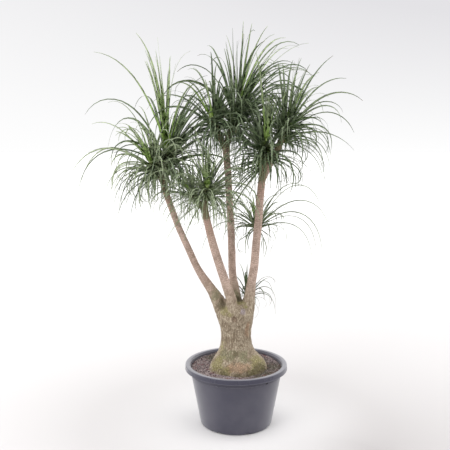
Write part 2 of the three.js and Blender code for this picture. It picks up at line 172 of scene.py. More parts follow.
def finished(bm: bmesh.types.BMesh, name: str, smooth: bool = True) -> bpy.types.Mesh:
    """Turns a bmesh into a mesh with its faces pointing out.

    Args:
        bm: the shape, which is freed.
        name: the mesh's name.
        smooth: whether its faces are shaded smooth.

    Returns:
        The mesh.
    """
    bmesh.ops.recalc_face_normals(bm, faces=bm.faces)
    for face in bm.faces:
        face.smooth = smooth
    mesh = bpy.data.meshes.new(name)
    bm.to_mesh(mesh)
    bm.free()
    return mesh


def with_modifier(mesh: bpy.types.Mesh, kind: str, **settings: object) -> bpy.types.Mesh:
    """Runs one modifier over a mesh and keeps its result.

    Args:
        mesh: the mesh that it works on, which is removed.
        kind: the modifier's type.
        **settings: the modifier's properties.

    Returns:
        The resulting mesh.
    """
    holder = bpy.data.objects.new("holder", mesh)
    bpy.context.scene.collection.objects.link(holder)
    modifier = holder.modifiers.new(kind.title(), kind)
    for name, value in settings.items():
        setattr(modifier, name, value)
    depsgraph = bpy.context.evaluated_depsgraph_get()
    result = bpy.data.meshes.new_from_object(holder.evaluated_get(depsgraph))
    bpy.data.objects.remove(holder)
    bpy.data.meshes.remove(mesh)
    return result


def spun(outline: list[Pair], steps: int, is_ring: bool = False) -> bmesh.types.BMesh:
    """Spins an outline round the upright axis.

    Args:
        outline: pairs of distance from the axis and height, in millimetres.
        steps: how many steps the turn takes.
        is_ring: whether the outline closes on itself, clear of the axis.

    Returns:
        The spun shape.
    """
    bm = bmesh.new()
    points = [bm.verts.new((x * MM, 0, z * MM)) for x, z in outline]
    edges = [bm.edges.new(pair) for pair in zip(points, points[1:] + points[: int(is_ring)])]
    whole = {"cent": (0, 0, 0), "axis": UP, "angle": 2 * math.pi, "use_merge": True}
    bmesh.ops.spin(bm, geom=points + edges, steps=steps, **whole)
    return bm


def write_attribute(mesh: bpy.types.Mesh, name: str, values: list[float] | np.ndarray) -> None:
    """Keeps one number for each vertex, for a material to read.

    Args:
        mesh: the mesh.
        name: the attribute's name.
        values: a number for each vertex.
    """
    mesh.attributes.new(name, "FLOAT", "POINT").data.foreach_set("value", np.asarray(values, np.float32))


# --------------------------------------------------------------------------------------- finishes


@dataclass(frozen=True)
class Finish:
    """A surface, from what it is made of, that can be turned into a material of the same name."""

    name: str

    def material(self) -> bpy.types.Material:
        """Builds the finish.

        Returns:
            The material.
        """
        material = bpy.data.materials.new(self.name)
        material.use_nodes = True
        material.node_tree.nodes.clear()
        add_node(material.node_tree, "OutputMaterial", self.surface(material.node_tree))
        return material

    def surface(self, tree: Tree) -> Socket:
        """Adds the finish's nodes to the tree and returns the shader that they end in."""
        raise NotImplementedError


@dataclass(frozen=True)
class MouldedPolypropylene(Finish):
    """Injection-moulded polypropylene: dark, satin, with a fine grain, a powdery film and scuffs, and painted
    light at the lip.

    The ramps turn heights and distances in metres, and noise, to how much of that film lies there; some ramps
    instead paint a highlight on the lip and shade on its face.
    """

    name: str = "moulded_polypropylene"
    colour: str = "#343345"
    dust_and_highlight_colour: str = "#86848c"
    ior: float = 1.49
    sheen: float = 0.28  # dust catches the light that grazes the wall
    rough: Ramp = (0, 1, 0.27, 0.5)
    grain_mm: float = 2.5  # the real grain is 0.3 mm, drawn coarser so that it shows
    grain_bump: Pair = (0.03, 0.0006)
    cloud_mm: float = 90
    scuff_mm: float = 9
    scuff_shape: Place = (1, 1, 0.15)  # scuffs run upright
    scuffed: Ramp = (0.52, 0.75, 0, 0.35)
    splashed: Ramp = (0.035, 0, 0, 0.45)  # and show low on the wall
    film: Ramp = (0.1, 0.9, 0, 0.22)
    lip_shade: Ramp = (0.262, 0.270, 1, 0.15)  # painted shade: the film thins above the collar, so the collar and the lip's face are darker
    rim: Ramp = (0.2972, 0.2998, 0, 0.6)  # painted highlight along the top of the lip
    bead: Ramp = (0.2785, 0.2765, 0, 0.3)  # and a painted highlight along its lower edge
    bead_foot: float = 0.2745
    inside: Ramp = (0.2275, 0.2265, 0, 0.3)  # soil has dusted the wall that faces the middle
    inside_foot: float = 0.262

    def surface(self, tree: Tree) -> Socket:
        """Adds the container's nodes.

        Args:
            tree: the material's node tree.

        Returns:
            The shader that they end in.
        """
        place = add_node(tree, "TexCoord", out="Object")
        height = add_node(tree, "SeparateXYZ", place, out="Z")
        level = add_node(tree, "VectorMath", place, (1, 1, 0), operation="MULTIPLY")
        radius = add_node(tree, "VectorMath", level, out="Value", operation="LENGTH")
        upright = add_node(tree, "Mapping", place, named={"Scale": self.scuff_shape})
        cloud, scuffs, grain = (
            add_node(
                tree, "TexNoise",
                named={"Vector": where, "Scale": per_metre(size), "Detail": detail, "Roughness": rough},
            )
            for where, size, detail, rough in (
                (place, self.cloud_mm, 4, 0.5),
                (upright, self.scuff_mm, 6, 0.7),
                (place, self.grain_mm, 2, 0.5),
            )
        )
        scuffed, splashed, film, lip_shade, rim, bead, inside = (
            add_node(tree, "MapRange", reading, *ramp)
            for reading, ramp in (
                (scuffs, self.scuffed), (height, self.splashed), (cloud, self.film), (height, self.lip_shade),
                (height, self.rim), (height, self.bead), (radius, self.inside),
            )
        )
        # Painted shade: less film on the collar and the lip.
        film = add_node(tree, "Math", film, lip_shade, operation="MULTIPLY")
        # The bead's painted highlight and the soil on the inside wall join the rim's painted highlight.
        for toned, foot in ((bead, self.bead_foot), (inside, self.inside_foot)):
            above = add_node(tree, "Math", height, foot, operation="GREATER_THAN")
            toned = add_node(tree, "Math", toned, above, operation="MULTIPLY")
            rim = add_node(tree, "Math", rim, toned, operation="MAXIMUM")
        # The film and scuffs are summed, and the lip's painted highlight is added to them.
        dust_and_highlight = add_node(tree, "Math", scuffed, splashed, film, operation="MULTIPLY_ADD")
        dust_and_highlight = add_node(tree, "Math", dust_and_highlight, rim, operation="ADD", use_clamp=True)
        shades = {0: dust_and_highlight, 6: linear(self.colour), 7: linear(self.dust_and_highlight_colour)}
        return add_node(tree, "BsdfPrincipled", named={
            "Base Color": add_node(tree, named=shades, **COLOUR_MIX),
            "Roughness": add_node(tree, "MapRange", dust_and_highlight, *self.rough),
            "Normal": add_node(tree, "Bump", *self.grain_bump, named={"Height": grain}),
            "IOR": self.ior,
            "Sheen Weight": self.sheen,
        })


@dataclass(frozen=True)
class PottingMix(Finish):
    """Peat and lava grit: matt crumbs from purplish brown to grey, with a dark green bloom that is partly
    painted shade.
    """

    name: str = "potting_mix"
    dark: str = "#4b3d41"
    light: str = "#cbbbb8"
    chip: str = "#75504f"
    # The bloom's colour, which also paints shade over the right and back of the bed.
    moss: str = "#4b4a36"
    crumb_mm: float = 3
    lightness: Ramp = (0.05, 0.62, 0, 1)
    rough: float = 0.95
    bump: Pair = (0.6, 0.0015)

    def surface(self, tree: Tree) -> Socket:
        """Adds the nodes of the bed and of the crumbs that lie on it.

        Args:
            tree: the material's node tree.

        Returns:
            The shader that they end in.
        """
        place = add_node(tree, "TexCoord", out="Object")
        tint, chip, moss = (
            add_node(tree, "Attribute", out="Fac", attribute_name=name) for name in ("tint", "chip", "moss")
        )
        grains = {"Vector": place, "Scale": per_metre(self.crumb_mm), "Detail": 5}
        speckle = add_node(tree, "TexNoise", named=grains)
        share = add_node(tree, "Math", tint, speckle, operation="MULTIPLY")
        share = add_node(tree, "MapRange", share, *self.lightness)
        colour = linear(self.dark)
        for amount, tone in ((share, self.light), (chip, self.chip), (moss, self.moss)):
            colour = add_node(tree, named={0: amount, 6: colour, 7: linear(tone)}, **COLOUR_MIX)
        bump = add_node(tree, "Bump", *self.bump, named={"Height": speckle})
        dress = {"Base Color": colour, "Roughness": self.rough, "Normal": bump}
        return add_node(tree, "BsdfPrincipled", named=dress)


class Stain(Enum):
    """What has marked the bark, and the shade painted on it; each value is the name of the attribute that
    holds it.
    """

    MOSS = "moss"
    LICHEN = "lichen"
    OCHRE = "ochre"
    RUST = "rust"
    SCAR = "scar"
    DAMP = "damp"


BARK_READINGS = ("along", "shoot", "crack", "collar", "fresh", *(stain.value for stain in Stain))


@dataclass(frozen=True)
class PalmBark(Finish):
    """Corky bark: cracked in upright plates on the swollen base, and smooth with faint rings on the shoots.

    The mesh carries how far up its limb each point is, how much of it is shoot, how deep the cracks
    are, with painted shade in the folds, where moss, ochre cork and healed scars lie, and where shade
    is painted at the foot and in the crotches.
    """

    name: str = "palm_bark"
    plate: Tones = ("#93836e", "#cdbea8")
    shoot: Tones = ("#937f71", "#cfb5a7")
    crack_and_ring: Tones = ("#64553f", "#6e5c50")
    marks: tuple[tuple[str, str, float, float], ...] = (  # a reading, its colour, where it starts, its most
        ("fresh", "#bd9a89", 0.15, 0.6), ("collar", "#6f6a48", 0.1, 0.85), ("ochre", "#c5a083", 0.2, 0.72),
        ("scar", "#b3a6ab", 0.1, 0.9), ("rust", "#6f5141", 0.15, 0.6), ("lichen", "#8b8e6c", 0.25, 0.8),
        # The last mark is painted shade, partly damp bark: dark olive at the foot and in the crotches.
        ("moss", "#a19d5e", 0.25, 0.8), ("damp", "#5a5539", 0.1, 0.65),
    )
    mark_edge: float = 0.3
    rough: float = 0.85
    bump: Pair = (0.8, 0.003)
    mottle_mm: float = 34
    fleck_mm: float = 5
    plate_mm: float = 6
    plate_shape: Place = (1, 1, 0.3)
    plate_gap: Ramp = (0.14, 0, 0, 1)
    plate_depth: float = 1.25
    plate_tone: Ramp = (0.86, 1.14, 0, 1)
    streak_mm: float = 5
    streak_shape: Place = (1, 1, 0.16)
    ring_mm: float = 9
    ring_bend: float = 30
    ring_line: Ramp = (0.4, 1, 0, 1)
    ring_tone: Ramp = (0.75, 1.15, 0, 1)

    def surface(self, tree: Tree) -> Socket:
        """Adds the bark's nodes.

        Args:
            tree: the material's node tree.

        Returns:
            The shader that they end in.
        """
        place = add_node(tree, "TexCoord", out="Object")
        reads = {name: add_node(tree, "Attribute", out="Fac", attribute_name=name) for name in BARK_READINGS}
        mottle, fleck = (
            add_node(
                tree, "TexNoise",
                named={"Vector": place, "Scale": per_metre(size), "Detail": detail, "Roughness": rough},
            )
            for size, detail, rough in ((self.mottle_mm, 6, 0.65), (self.fleck_mm, 3, 0.5))
        )
        plate_tone, cracks, streak = self._plates(tree, place, reads["crack"], mottle, fleck)
        shoot_tone, rings = self._rings(tree, reads["along"], mottle, fleck)
        plate, shoot, lines = (
            add_node(tree, named={0: share, 6: linear(dark), 7: linear(light)}, **COLOUR_MIX)
            for share, (dark, light) in (
                (plate_tone, self.plate), (shoot_tone, self.shoot), (reads["shoot"], self.crack_and_ring)
            )
        )
        colour = add_node(tree, named={0: reads["shoot"], 6: plate, 7: shoot}, **COLOUR_MIX)
        for mark, tone, start, most in self.marks:
            grain = streak if mark == Stain.OCHRE.value else fleck
            patchy = add_node(tree, "Math", reads[mark], grain, -start, operation="MULTIPLY_ADD")
            share = add_node(tree, "MapRange", patchy, 0, self.mark_edge, 0, most)
            colour = add_node(tree, named={0: share, 6: colour, 7: linear(tone)}, **COLOUR_MIX)
        depth = add_node(tree, "Mix", named={0: reads["shoot"], 2: cracks, 3: rings}, data_type="FLOAT")
        colour = add_node(tree, named={0: depth, 6: colour, 7: lines}, **COLOUR_MIX)
        relief = add_node(tree, "Math", fleck, depth, operation="SUBTRACT")
        bump = add_node(tree, "Bump", *self.bump, named={"Height": relief})
        dress = {"Base Color": colour, "Roughness": self.rough, "Normal": bump}
        return add_node(tree, "BsdfPrincipled", named=dress)

    def _plates(
        self, tree: Tree, place: Socket, crack: Socket, mottle: Socket, fleck: Socket
    ) -> tuple[Socket, Socket, Socket]:
        """Draws the upright plates of the swollen base.

        Args:
            tree: the bark's node tree.
            place: object coordinates.
            crack: the depth of the modelled cracks, and the painted shade in the folds.
            mottle: slow change of colour.
            fleck: quick change of colour.

        Returns:
            How light the plates are, how dark the cracks, and the upright streaks.
        """
        upright, tall = (
            add_node(tree, "Mapping", place, named={"Scale": shape})
            for shape in (self.plate_shape, self.streak_shape)
        )
        cells = {"Vector": upright, "Scale": per_metre(self.plate_mm), "Randomness": 1}
        gap = add_node(tree, "TexVoronoi", named=cells, feature="DISTANCE_TO_EDGE")
        gap = add_node(tree, "MapRange", gap, *self.plate_gap)
        depth = add_node(tree, "Math", gap, crack, operation="MAXIMUM")
        depth = add_node(tree, "Math", depth, fleck, operation="MULTIPLY")
        depth = add_node(tree, "Math", depth, self.plate_depth, operation="MULTIPLY", use_clamp=True)
        streaks = {"Vector": tall, "Scale": per_metre(self.streak_mm), "Detail": 4}
        streak = add_node(tree, "TexNoise", named=streaks)
        tone = add_node(tree, "Math", streak, mottle, operation="ADD")
        return add_node(tree, "MapRange", tone, *self.plate_tone), depth, streak

    def _rings(self, tree: Tree, along: Socket, mottle: Socket, fleck: Socket) -> tuple[Socket, Socket]:
        """Draws the faint rings that fallen leaves leave round a shoot.

        Args:
            tree: the bark's node tree.
            along: how far up the limb a point is.
            mottle: slow change of colour, which also bends the rings.
            fleck: quick change of colour.

        Returns:
            How light the skin is, and how dark the rings.
        """
        turns = add_node(tree, "Math", along, 2 * math.pi * per_metre(self.ring_mm), operation="MULTIPLY")
        turns = add_node(tree, "Math", mottle, self.ring_bend, turns, operation="MULTIPLY_ADD")
        wave = add_node(tree, "Math", turns, operation="SINE")
        line = add_node(tree, "MapRange", wave, *self.ring_line)
        tone = add_node(tree, "Math", fleck, mottle, operation="ADD")
        tone = add_node(tree, "MapRange", tone, *self.ring_tone)
        return tone, add_node(tree, "Math", line, fleck, operation="MULTIPLY")


@dataclass(frozen=True)
class StrapLeaf(Finish):
    """A living strap leaf: waxy and tough, darker with age, pale where it clasps the wood, dry at its tip."""

    dark: str
    bright: str
    heart: str
    heart_share: float  # how much of the leaf, from its root, turns to the heart's colour
    heart_most: float = 0.95
    pale: str = "#aeb487"
    dry: str = "#8d7a55"
    dry_edge: float = 0.06
    patch_mm: float = 40
    patch_share: float = 0.5
    tone: Ramp = (0.15, 1.15, 0, 1)
    veins: float = 7
    vein_tone: Ramp = (-1, 1, 0, 0.14)
    vein_bump: Pair = (0.15, 0.0004)
    rough: Ramp = (0, 1, 0.42, 0.8)
    translucence: float = 0.5  # the share of light that comes through the blade

    def surface(self, tree: Tree) -> Socket:
        """Adds the leaf's nodes, which read each leaf's own tint and dry tip from the mesh.

        Args:
            tree: the material's node tree.

        Returns:
            The shader that they end in.
        """
        place = add_node(tree, "TexCoord", out="Object")
        blade = add_node(tree, "UVMap", uv_map="blade")
        across, along = (add_node(tree, "SeparateXYZ", blade, out=way) for way in "XY")
        tint, dryness = (
            add_node(tree, "Attribute", out="Fac", attribute_name=name) for name in ("tint", "dry")
        )
        patches = {"Vector": place, "Scale": per_metre(self.patch_mm), "Detail": 2}
        patch = add_node(tree, "TexNoise", named=patches)
        tone = add_node(tree, "Math", patch, self.patch_share, tint, operation="MULTIPLY_ADD")
        tone = add_node(tree, "MapRange", tone, *self.tone)
        veins = add_node(tree, "Math", across, 2 * math.pi * self.veins, operation="MULTIPLY")
        veins = add_node(tree, "Math", veins, operation="SINE")
        light = add_node(tree, "MapRange", veins, *self.vein_tone)
        foot = add_node(tree, "MapRange", along, self.heart_share, 0, 0, self.heart_most)
        withered = add_node(tree, "Math", along, dryness, operation="SUBTRACT")
        withered = add_node(tree, "MapRange", withered, 0, self.dry_edge)
        colour = linear(self.dark)
        for share, shade in (
            (tone, self.bright), (light, self.pale), (foot, self.heart), (withered, self.dry)
        ):
            colour = add_node(tree, named={0: share, 6: colour, 7: linear(shade)}, **COLOUR_MIX)
        rough = add_node(tree, "MapRange", withered, *self.rough)
        bump = add_node(tree, "Bump", *self.vein_bump, named={"Height": veins})
        dress = {"Base Color": colour, "Roughness": rough, "Normal": bump}
        lit = add_node(tree, "BsdfPrincipled", named=dress)
        through = add_node(tree, "BsdfTranslucent", colour)
        return add_node(tree, "MixShader", self.translucence, lit, through)


@dataclass(frozen=True)
class LeafBaseFibre(Finish):
    """The fibrous leaf bases that sheathe a shoot's tip: matt, ringed, brown where the leaves are old."""

    name: str = "leaf_base_fibre"
    dark: str = "#484b36"
    light: str = "#8a9066"
    ring_mm: float = 6
    ring_shape: Place = (0.5, 0.5, 1.6)
    edge: float = 0.3
    rough: float = 0.9
    bump: Pair = (0.8, 0.002)

    def surface(self, tree: Tree) -> Socket:
        """Adds the nodes of the tips under the leaves.

        Args:
            tree: the material's node tree.

        Returns:
            The shader that they end in.
        """
        place = add_node(tree, "TexCoord", out="Object")
        flat = add_node(tree, "Mapping", place, named={"Scale": self.ring_shape})
        cells = {"Vector": flat, "Scale": per_metre(self.ring_mm)}
        stubs = add_node(tree, "TexVoronoi", named=cells, feature="DISTANCE_TO_EDGE")
        share = add_node(tree, "MapRange", stubs, 0, self.edge)
        shades = {0: share, 6: linear(self.dark), 7: linear(self.light)}
        return add_node(tree, "BsdfPrincipled", named={
            "Base Color": add_node(tree, named=shades, **COLOUR_MIX),
            "Roughness": self.rough,
            "Normal": add_node(tree, "Bump", *self.bump, named={"Height": stubs}),
        })


@dataclass(frozen=True)
class StudioPaint(Finish):
    """Matt white studio paint, with a faint unevenness from the roller, and painted shade and painted light
    near the pot.
    """

    name: str = "studio_paint"
    colour: str = "#fefdfd"
    toned: str = "#afabab"  # painted shade: darkest at a place in front of the pot and to its right, fading out over metres
    shade_at: Place = (0.4, -0.5, 0)
    shade_m: Pair = (0.3, 8.0)
    shade_power: float = 0.6
    painted_light: str = "#e7e5e5"  # painted light: paler round the pot, which thins its contact shadow
    painted_light_m: Pair = (0.78, 0.12)
    cloud_mm: float = 900
    rough: Ramp = (0, 1, 0.7, 0.9)

    def surface(self, tree: Tree) -> Socket:
        """Adds the floor's nodes.

        Args:
            tree: the material's node tree.

        Returns:
            The shader that they end in.
        """
        place = add_node(tree, "TexCoord", out="Object")
        cloud = add_node(tree, "TexNoise", named={"Vector": place, "Scale": per_metre(self.cloud_mm)})
        # Painted shade, darkest at the given place and fading out over metres.
        away = add_node(tree, "VectorMath", place, self.shade_at, out="Value", operation="DISTANCE")
        unshaded = add_node(tree, "MapRange", away, *self.shade_m)
        unshaded = add_node(tree, "Math", unshaded, self.shade_power, operation="POWER")
        # Painted light: the floor is paler round the pot.
        near = add_node(tree, "VectorMath", place, out="Value", operation="LENGTH")
        painted_light = add_node(tree, "MapRange", near, *self.painted_light_m, interpolation_type="SMOOTHSTEP")
        colour = linear(self.toned)
        for share, tone in ((unshaded, self.colour), (painted_light, self.painted_light)):
            colour = add_node(tree, named={0: share, 6: colour, 7: linear(tone)}, **COLOUR_MIX)
        rough = add_node(tree, "MapRange", cloud, *self.rough)
        return add_node(tree, "BsdfPrincipled", named={"Base Color": colour, "Roughness": rough})


# -------------------------------------------------------------------------------------- container


@dataclass
class Container:
    """The round nursery container: a tapered wall, a collar, a rolled lip and drain notches at its foot."""

    height: float = 300
    lip_radius: float = 250
    lip_depth: float = 25
    lip_rounding: float = 5
    lip_inner_rounding: float = 12
    lip_slope: float = 1
    bead: float = 1.2  # how far the lip's lower edge stands out
    collar_radius: float = 228
    collar_bottom: float = 252
    collar_step: float = 3
    wall_top_radius: float = 222
    wall_bottom_radius: float = 177
    base_rounding: float = 10
    base_arc: Pair = (-90, -8)
    wall: float = 4
    floor: float = 5
    notches: int = 8
    notch_turn: float = -72.5
    notch: Place = (40, 28, 16)  # along, across and up, half of it below the foot
    pin_mark: Place = (141, -179, 257)  # where an ejector pin left its dimple
    pin_radius: float = 6
    steps: int = 120
    arc_steps: int = 6
    sharp_from: float = 35

    def build(self) -> bpy.types.Object:
        """Makes the container and stands it for the CAD node.

        Returns:
            The container.
        """
        body = spun(self._outline(), self.steps)
        bmesh.ops.remove_doubles(body, verts=body.verts, dist=0.02 * MM)
        cutters = self._cutters()
        mesh = with_modifier(finished(body, "container_body"), "BOOLEAN", object=cutters, solver="EXACT")
        bpy.data.objects.remove(cutters)
        mesh.set_sharp_from_angle(angle=math.radians(self.sharp_from))
        return add_piece("container", mesh, [MouldedPolypropylene().material()], "pot_plastic", "pot")

    def _arc(self, x: float, z: float, radius: float, start: float, end: float) -> list[Pair]:
        """Points round a corner of the outline.

        Args:
            x: distance of the arc's centre from the axis.
            z: height of its centre.
            radius: its radius.
            start: first angle in degrees.
            end: last angle in degrees.

        Returns:
            Pairs of distance from the axis and height.
        """
        turns = [math.radians(mix(start, end, step / self.arc_steps)) for step in range(self.arc_steps + 1)]
        return [(x + radius * math.cos(turn), z + radius * math.sin(turn)) for turn in turns]

    def _outline(self) -> list[Pair]:
        """The container's section from the middle of its underside, up outside and down inside.

        Returns:
            Pairs of distance from the axis and height, in millimetres.
        """
        underside = self.height - self.lip_depth
        under_top = self.height - self.wall - self.lip_slope
        inner = self.collar_radius - self.wall
        inner_corner = (inner + self.lip_inner_rounding, self.height - self.lip_inner_rounding)
        lip_corner = (self.lip_radius - self.lip_rounding, self.height - self.lip_rounding)
        base_edge = self.wall_bottom_radius - self.base_rounding
        return [
            (0, 0),
            *self._arc(base_edge, self.base_rounding, self.base_rounding, *self.base_arc),
            (self.wall_top_radius, self.collar_bottom),
            (self.collar_radius, self.collar_bottom + self.collar_step),
            (self.collar_radius, under_top),
            (self.lip_radius - self.wall, under_top),
            (self.lip_radius - self.wall, underside),
            (self.lip_radius + self.bead, underside + self.bead),
            (self.lip_radius + self.bead, underside + 2 * self.bead),
            (self.lip_radius, underside + 3 * self.bead),
            *self._arc(*lip_corner, self.lip_rounding, 0, 90),
            *self._arc(*inner_corner, self.lip_inner_rounding, 90, 180),
            (inner, self.collar_bottom + self.collar_step),
            (self.wall_top_radius - self.wall, self.collar_bottom),
            (self.wall_bottom_radius - self.wall, self.base_rounding),
            (base_edge, self.floor),
            (0, self.floor),
        ]

    def _cutters(self) -> bpy.types.Object:
        """Makes the blocks that cut the drain notches, and the ball that marks the pin's place.

        Returns:
            One object that holds them all.
        """
        bm = bmesh.new()
        for index in range(self.notches):
            turn = Matrix.Rotation(math.radians(self.notch_turn + index * 360 / self.notches), 4, "Z")
            place = turn @ Matrix.Translation((self.wall_bottom_radius * MM, 0, 0))
            size = Matrix.Diagonal((*(length * MM for length in self.notch), 1))
            bmesh.ops.create_cube(bm, size=1, matrix=place @ size)
        mark = Matrix.Translation(Vector(self.pin_mark) * MM)
        bmesh.ops.create_uvsphere(bm, u_segments=16, v_segments=10, radius=self.pin_radius * MM, matrix=mark)
        cutters = bpy.data.objects.new("cutters", finished(bm, "cutters"))
        bpy.context.scene.collection.objects.link(cutters)
        return cutters


# ------------------------------------------------------------------------------------------- wood


@dataclass(frozen=True)
class Patch:
    """A stained place, in millimetres."""

    x: float
    y: float
    z: float
    radius: float
    tall: float = 1.0  # how much higher than wide

    def share(self, place: Vector, solid: float, ragged: float = 0.0, grain_mm: float = 16) -> float:
        """Reads how strong the stain is.

        Args:
            place: where it is read, in metres.
            solid: the share of the radius within which it is full.
            ragged: how far its edge wanders, as a share of the radius.
            grain_mm: the size of what its edge wanders round.

        Returns:
            From 0 outside the patch to 1 in its middle.
        """
        offset = place - Vector((self.x, self.y, self.z)) * MM
        offset.z /= self.tall
        reach = self.radius * MM * (1 + ragged * noise.noise(place / (grain_mm * MM)))
        return 1 - smooth_step(solid * reach, reach, offset.length)


@dataclass(frozen=True)
class Station:
    """One cross-section of a limb, in metres."""

    centre: Vector
    axis: Vector
    radius: float
    along: float = 0.0
    left: float = 0.0  # how far it is from the limb's tip


@dataclass(frozen=True)
class Limb:
    """A length of wood: points x, y, z and radius up its middle, in millimetres."""

    points: Rows
    spacing: float = 12
    is_level: bool = False  # whether its cross-sections all lie flat

    def stations(self) -> list[Station]:
        """Follows a smooth line through the points.

        Returns:
            Cross-sections from the foot to the tip.
        """
        centres = [Vector(point[:3]) * MM for point in self.points]
        radii = [point[3] * MM for point in self.points]
        ends = [centres[0] * 2 - centres[1], *centres, centres[-1] * 2 - centres[-2]]
        slopes = [(after - before).normalized() for before, after in zip(ends, ends[2:])]
        line: list[tuple[Vector, float]] = []
        for index in range(len(centres) - 1):
            start, end = centres[index], centres[index + 1]
            reach = (end - start).length
            count = max(2, round(reach / (self.spacing * MM)) + 1)
            leaving, arriving = start + slopes[index] * reach / 3, end - slopes[index + 1] * reach / 3
            bent = geometry.interpolate_bezier(start, leaving, arriving, end, count)
            for step in range(count - 1):
                line.append((bent[step], mix(radii[index], radii[index + 1], step / (count - 1))))
        line.append((centres[-1], radii[-1]))
        found, along = [], 0.0
        for index, (centre, radius) in enumerate(line):
            before, after = line[max(0, index - 1)][0], line[min(len(line) - 1, index + 1)][0]
            along += (centre - before).length
            axis = UP if self.is_level else (after - before).normalized()
            found.append(Station(centre, axis, radius, along))
        return [replace(station, left=along - station.along) for station in found]

    def tip(self) -> Station:
        """Returns the limb's last cross-section, facing the way that its last two points do."""
        before, last = (Vector(point[:3]) * MM for point in self.points[-2:])
        return Station(last, (last - before).normalized(), self.points[-1][3] * MM)

    def grow(self, bm: bmesh.types.BMesh, sides: int) -> list[bmesh.types.BMVert]:
        """Extrudes the limb, cross-section by cross-section.

        Args:
            bm: where it is added.
            sides: how many sides it has.

        Returns:
            Its vertices.
        """
        line = self.stations()
        start = Matrix.Translation(line[0].centre) @ line[0].axis.to_track_quat("Z", "Y").to_matrix().to_4x4()
        ring = bmesh.ops.create_circle(bm, cap_ends=True, segments=sides, radius=line[0].radius, matrix=start)
        verts = list(ring["verts"])
        face = verts[0].link_faces[0]
        for before, after in zip(line, line[1:]):
            grown = bmesh.ops.extrude_face_region(bm, geom=[face])["geom"]
            face = next(item for item in grown if isinstance(item, bmesh.types.BMFace))
            step = (
                Matrix.Translation(after.centre)
                @ before.axis.rotation_difference(after.axis).to_matrix().to_4x4()
                @ Matrix.Scale(after.radius / before.radius, 4)
                @ Matrix.Translation(-before.centre)
            )
            bmesh.ops.transform(bm, matrix=step, verts=face.verts)
            verts += face.verts
        return verts


SHOOTS: dict[str, Limb] = {
    "left_top": Limb((
        (-42, 0, 510, 44), (-79, 0, 596, 37), (-117, 3, 661, 26), (-184, 6, 764, 18),
        (-241, 8, 888, 16.5), (-276, 11, 966, 16), (-308, 14, 1052, 15.5), (-337, 17, 1138, 15.5),
        (-346, 19, 1190, 16.5), (-343, 22, 1232, 17),
    )),
    "left_side": Limb((
        (-342, 18, 1158, 11), (-352, 12, 1188, 14), (-362, 4, 1210, 14.5), (-374, -4, 1232, 14.5),
    )),
    "front_top": Limb((
        (-10, -22, 500, 42), (-21, -43, 590, 34), (-31, -54, 649, 26), (-56, -64, 726, 22),
        (-81, -73, 803, 20.5), (-114, -83, 915, 19.5), (-137, -92, 1011, 17.5),
        (-148, -104, 1066, 16.5), (-150, -111, 1095, 16.5), (-146, -117, 1120, 16.5),
    )),
    "front_side": Limb((
        (-146, -101, 1060, 11), (-158, -104, 1078, 13), (-172, -107, 1094, 13.5), (-185, -109, 1112, 13.5),
    )),
    "centre_top": Limb((
        (10, 25, 510, 40), (-1, 42, 600, 32), (-6, 53, 660, 23), (-17, 62, 728, 19.5),
        (-22, 70, 855, 18.5), (-26, 78, 981, 18), (-34, 87, 1106, 17.5), (-40, 95, 1230, 17.5),
        (-49, 103, 1341, 17.5), (-40, 108, 1395, 17.5), (-25, 113, 1438, 17.5),
    )),
    "centre_side": Limb((
        (-48, 103, 1330, 12), (-62, 90, 1365, 14.5), (-80, 74, 1402, 15), (-94, 60, 1436, 15),
    )),
    "right_top": Limb((
        (34, 4, 500, 46), (54, 10, 576, 38), (65, 5, 634, 28), (75, 1, 712, 22),
        (87, -4, 789, 20.5), (95, -13, 902, 19.5), (104, -17, 995, 19.5), (110, -22, 1088, 18.5),
        (117, -26, 1179, 18), (124, -31, 1250, 18), (129, -35, 1290, 18),
    )),
    "right_side": Limb((
        (115, -25, 1180, 13), (134, -18, 1225, 15), (160, -4, 1280, 15.5), (190, 10, 1338, 16),
        (214, 22, 1392, 16),
    )),
    "back_low": Limb((
        (96, -12, 905, 12), (103, 20, 915, 13), (106, 56, 930, 13), (104, 84, 950, 13.5),
    )),
    "sprout": Limb(((35, 45, 575, 12), (46, 60, 592, 10), (53, 70, 606, 9.5))),
}

CAUDEX = Limb((
    (8, 0, 215, 128), (8, 0, 245, 138), (8, 0, 275, 142), (9, 0, 292, 139), (9, 0, 312, 131),
    (7, 0, 335, 112), (2, 0, 358, 93), (0, 0, 388, 80), (0, 0, 425, 73), (-1, 0, 475, 76),
    (-3, 0, 520, 86), (-6, 0, 556, 91), (-9, 0, 582, 82), (-8, 0, 602, 60), (-8, 0, 612, 28),
), is_level=True)

STAINS: dict[Stain, list[Patch]] = {
    stain: [Patch(*row) for row in rows]
    for stain, rows in {
        Stain.MOSS: (
            (-60, -60, 580, 42), (-30, -72, 560, 30), (18, -20, 600, 44), (52, -50, 600, 30),
            (-84, -50, 400, 44, 1.4), (-105, -80, 325, 78), (118, -70, 325, 84), (86, -110, 292, 56),
            (-60, -125, 284, 60), (40, 110, 330, 80), (-90, 60, 345, 60),
        ),
        Stain.LICHEN: (
            (-66, -70, 366, 44, 1.2), (34, -100, 368, 62), (-30, -95, 368, 50), (0, 0, 640, 60),
            (-96, -10, 640, 40, 1.6),
        ),
        Stain.OCHRE: (
            (-30, -130, 314, 52, 0.8), (14, -132, 318, 54, 0.8), (52, -120, 314, 40, 0.8),
            (58, -60, 480, 26, 2.4),
        ),
        Stain.RUST: ((-12, -92, 541, 24),),
        Stain.SCAR: ((31, -72, 576, 20, 1.2),),
        # Painted shade, partly damp bark: the foot by the mix, the crotches and the front of the base.
        Stain.DAMP: (
            (-64, -130, 268, 46), (6, -150, 268, 44), (70, -130, 274, 62), (122, -84, 286, 66),
            (-70, -30, 600, 34, 1.4), (16, 10, 606, 34), (0, -96, 372, 30, 0.8),
        ),
    }.items()
}


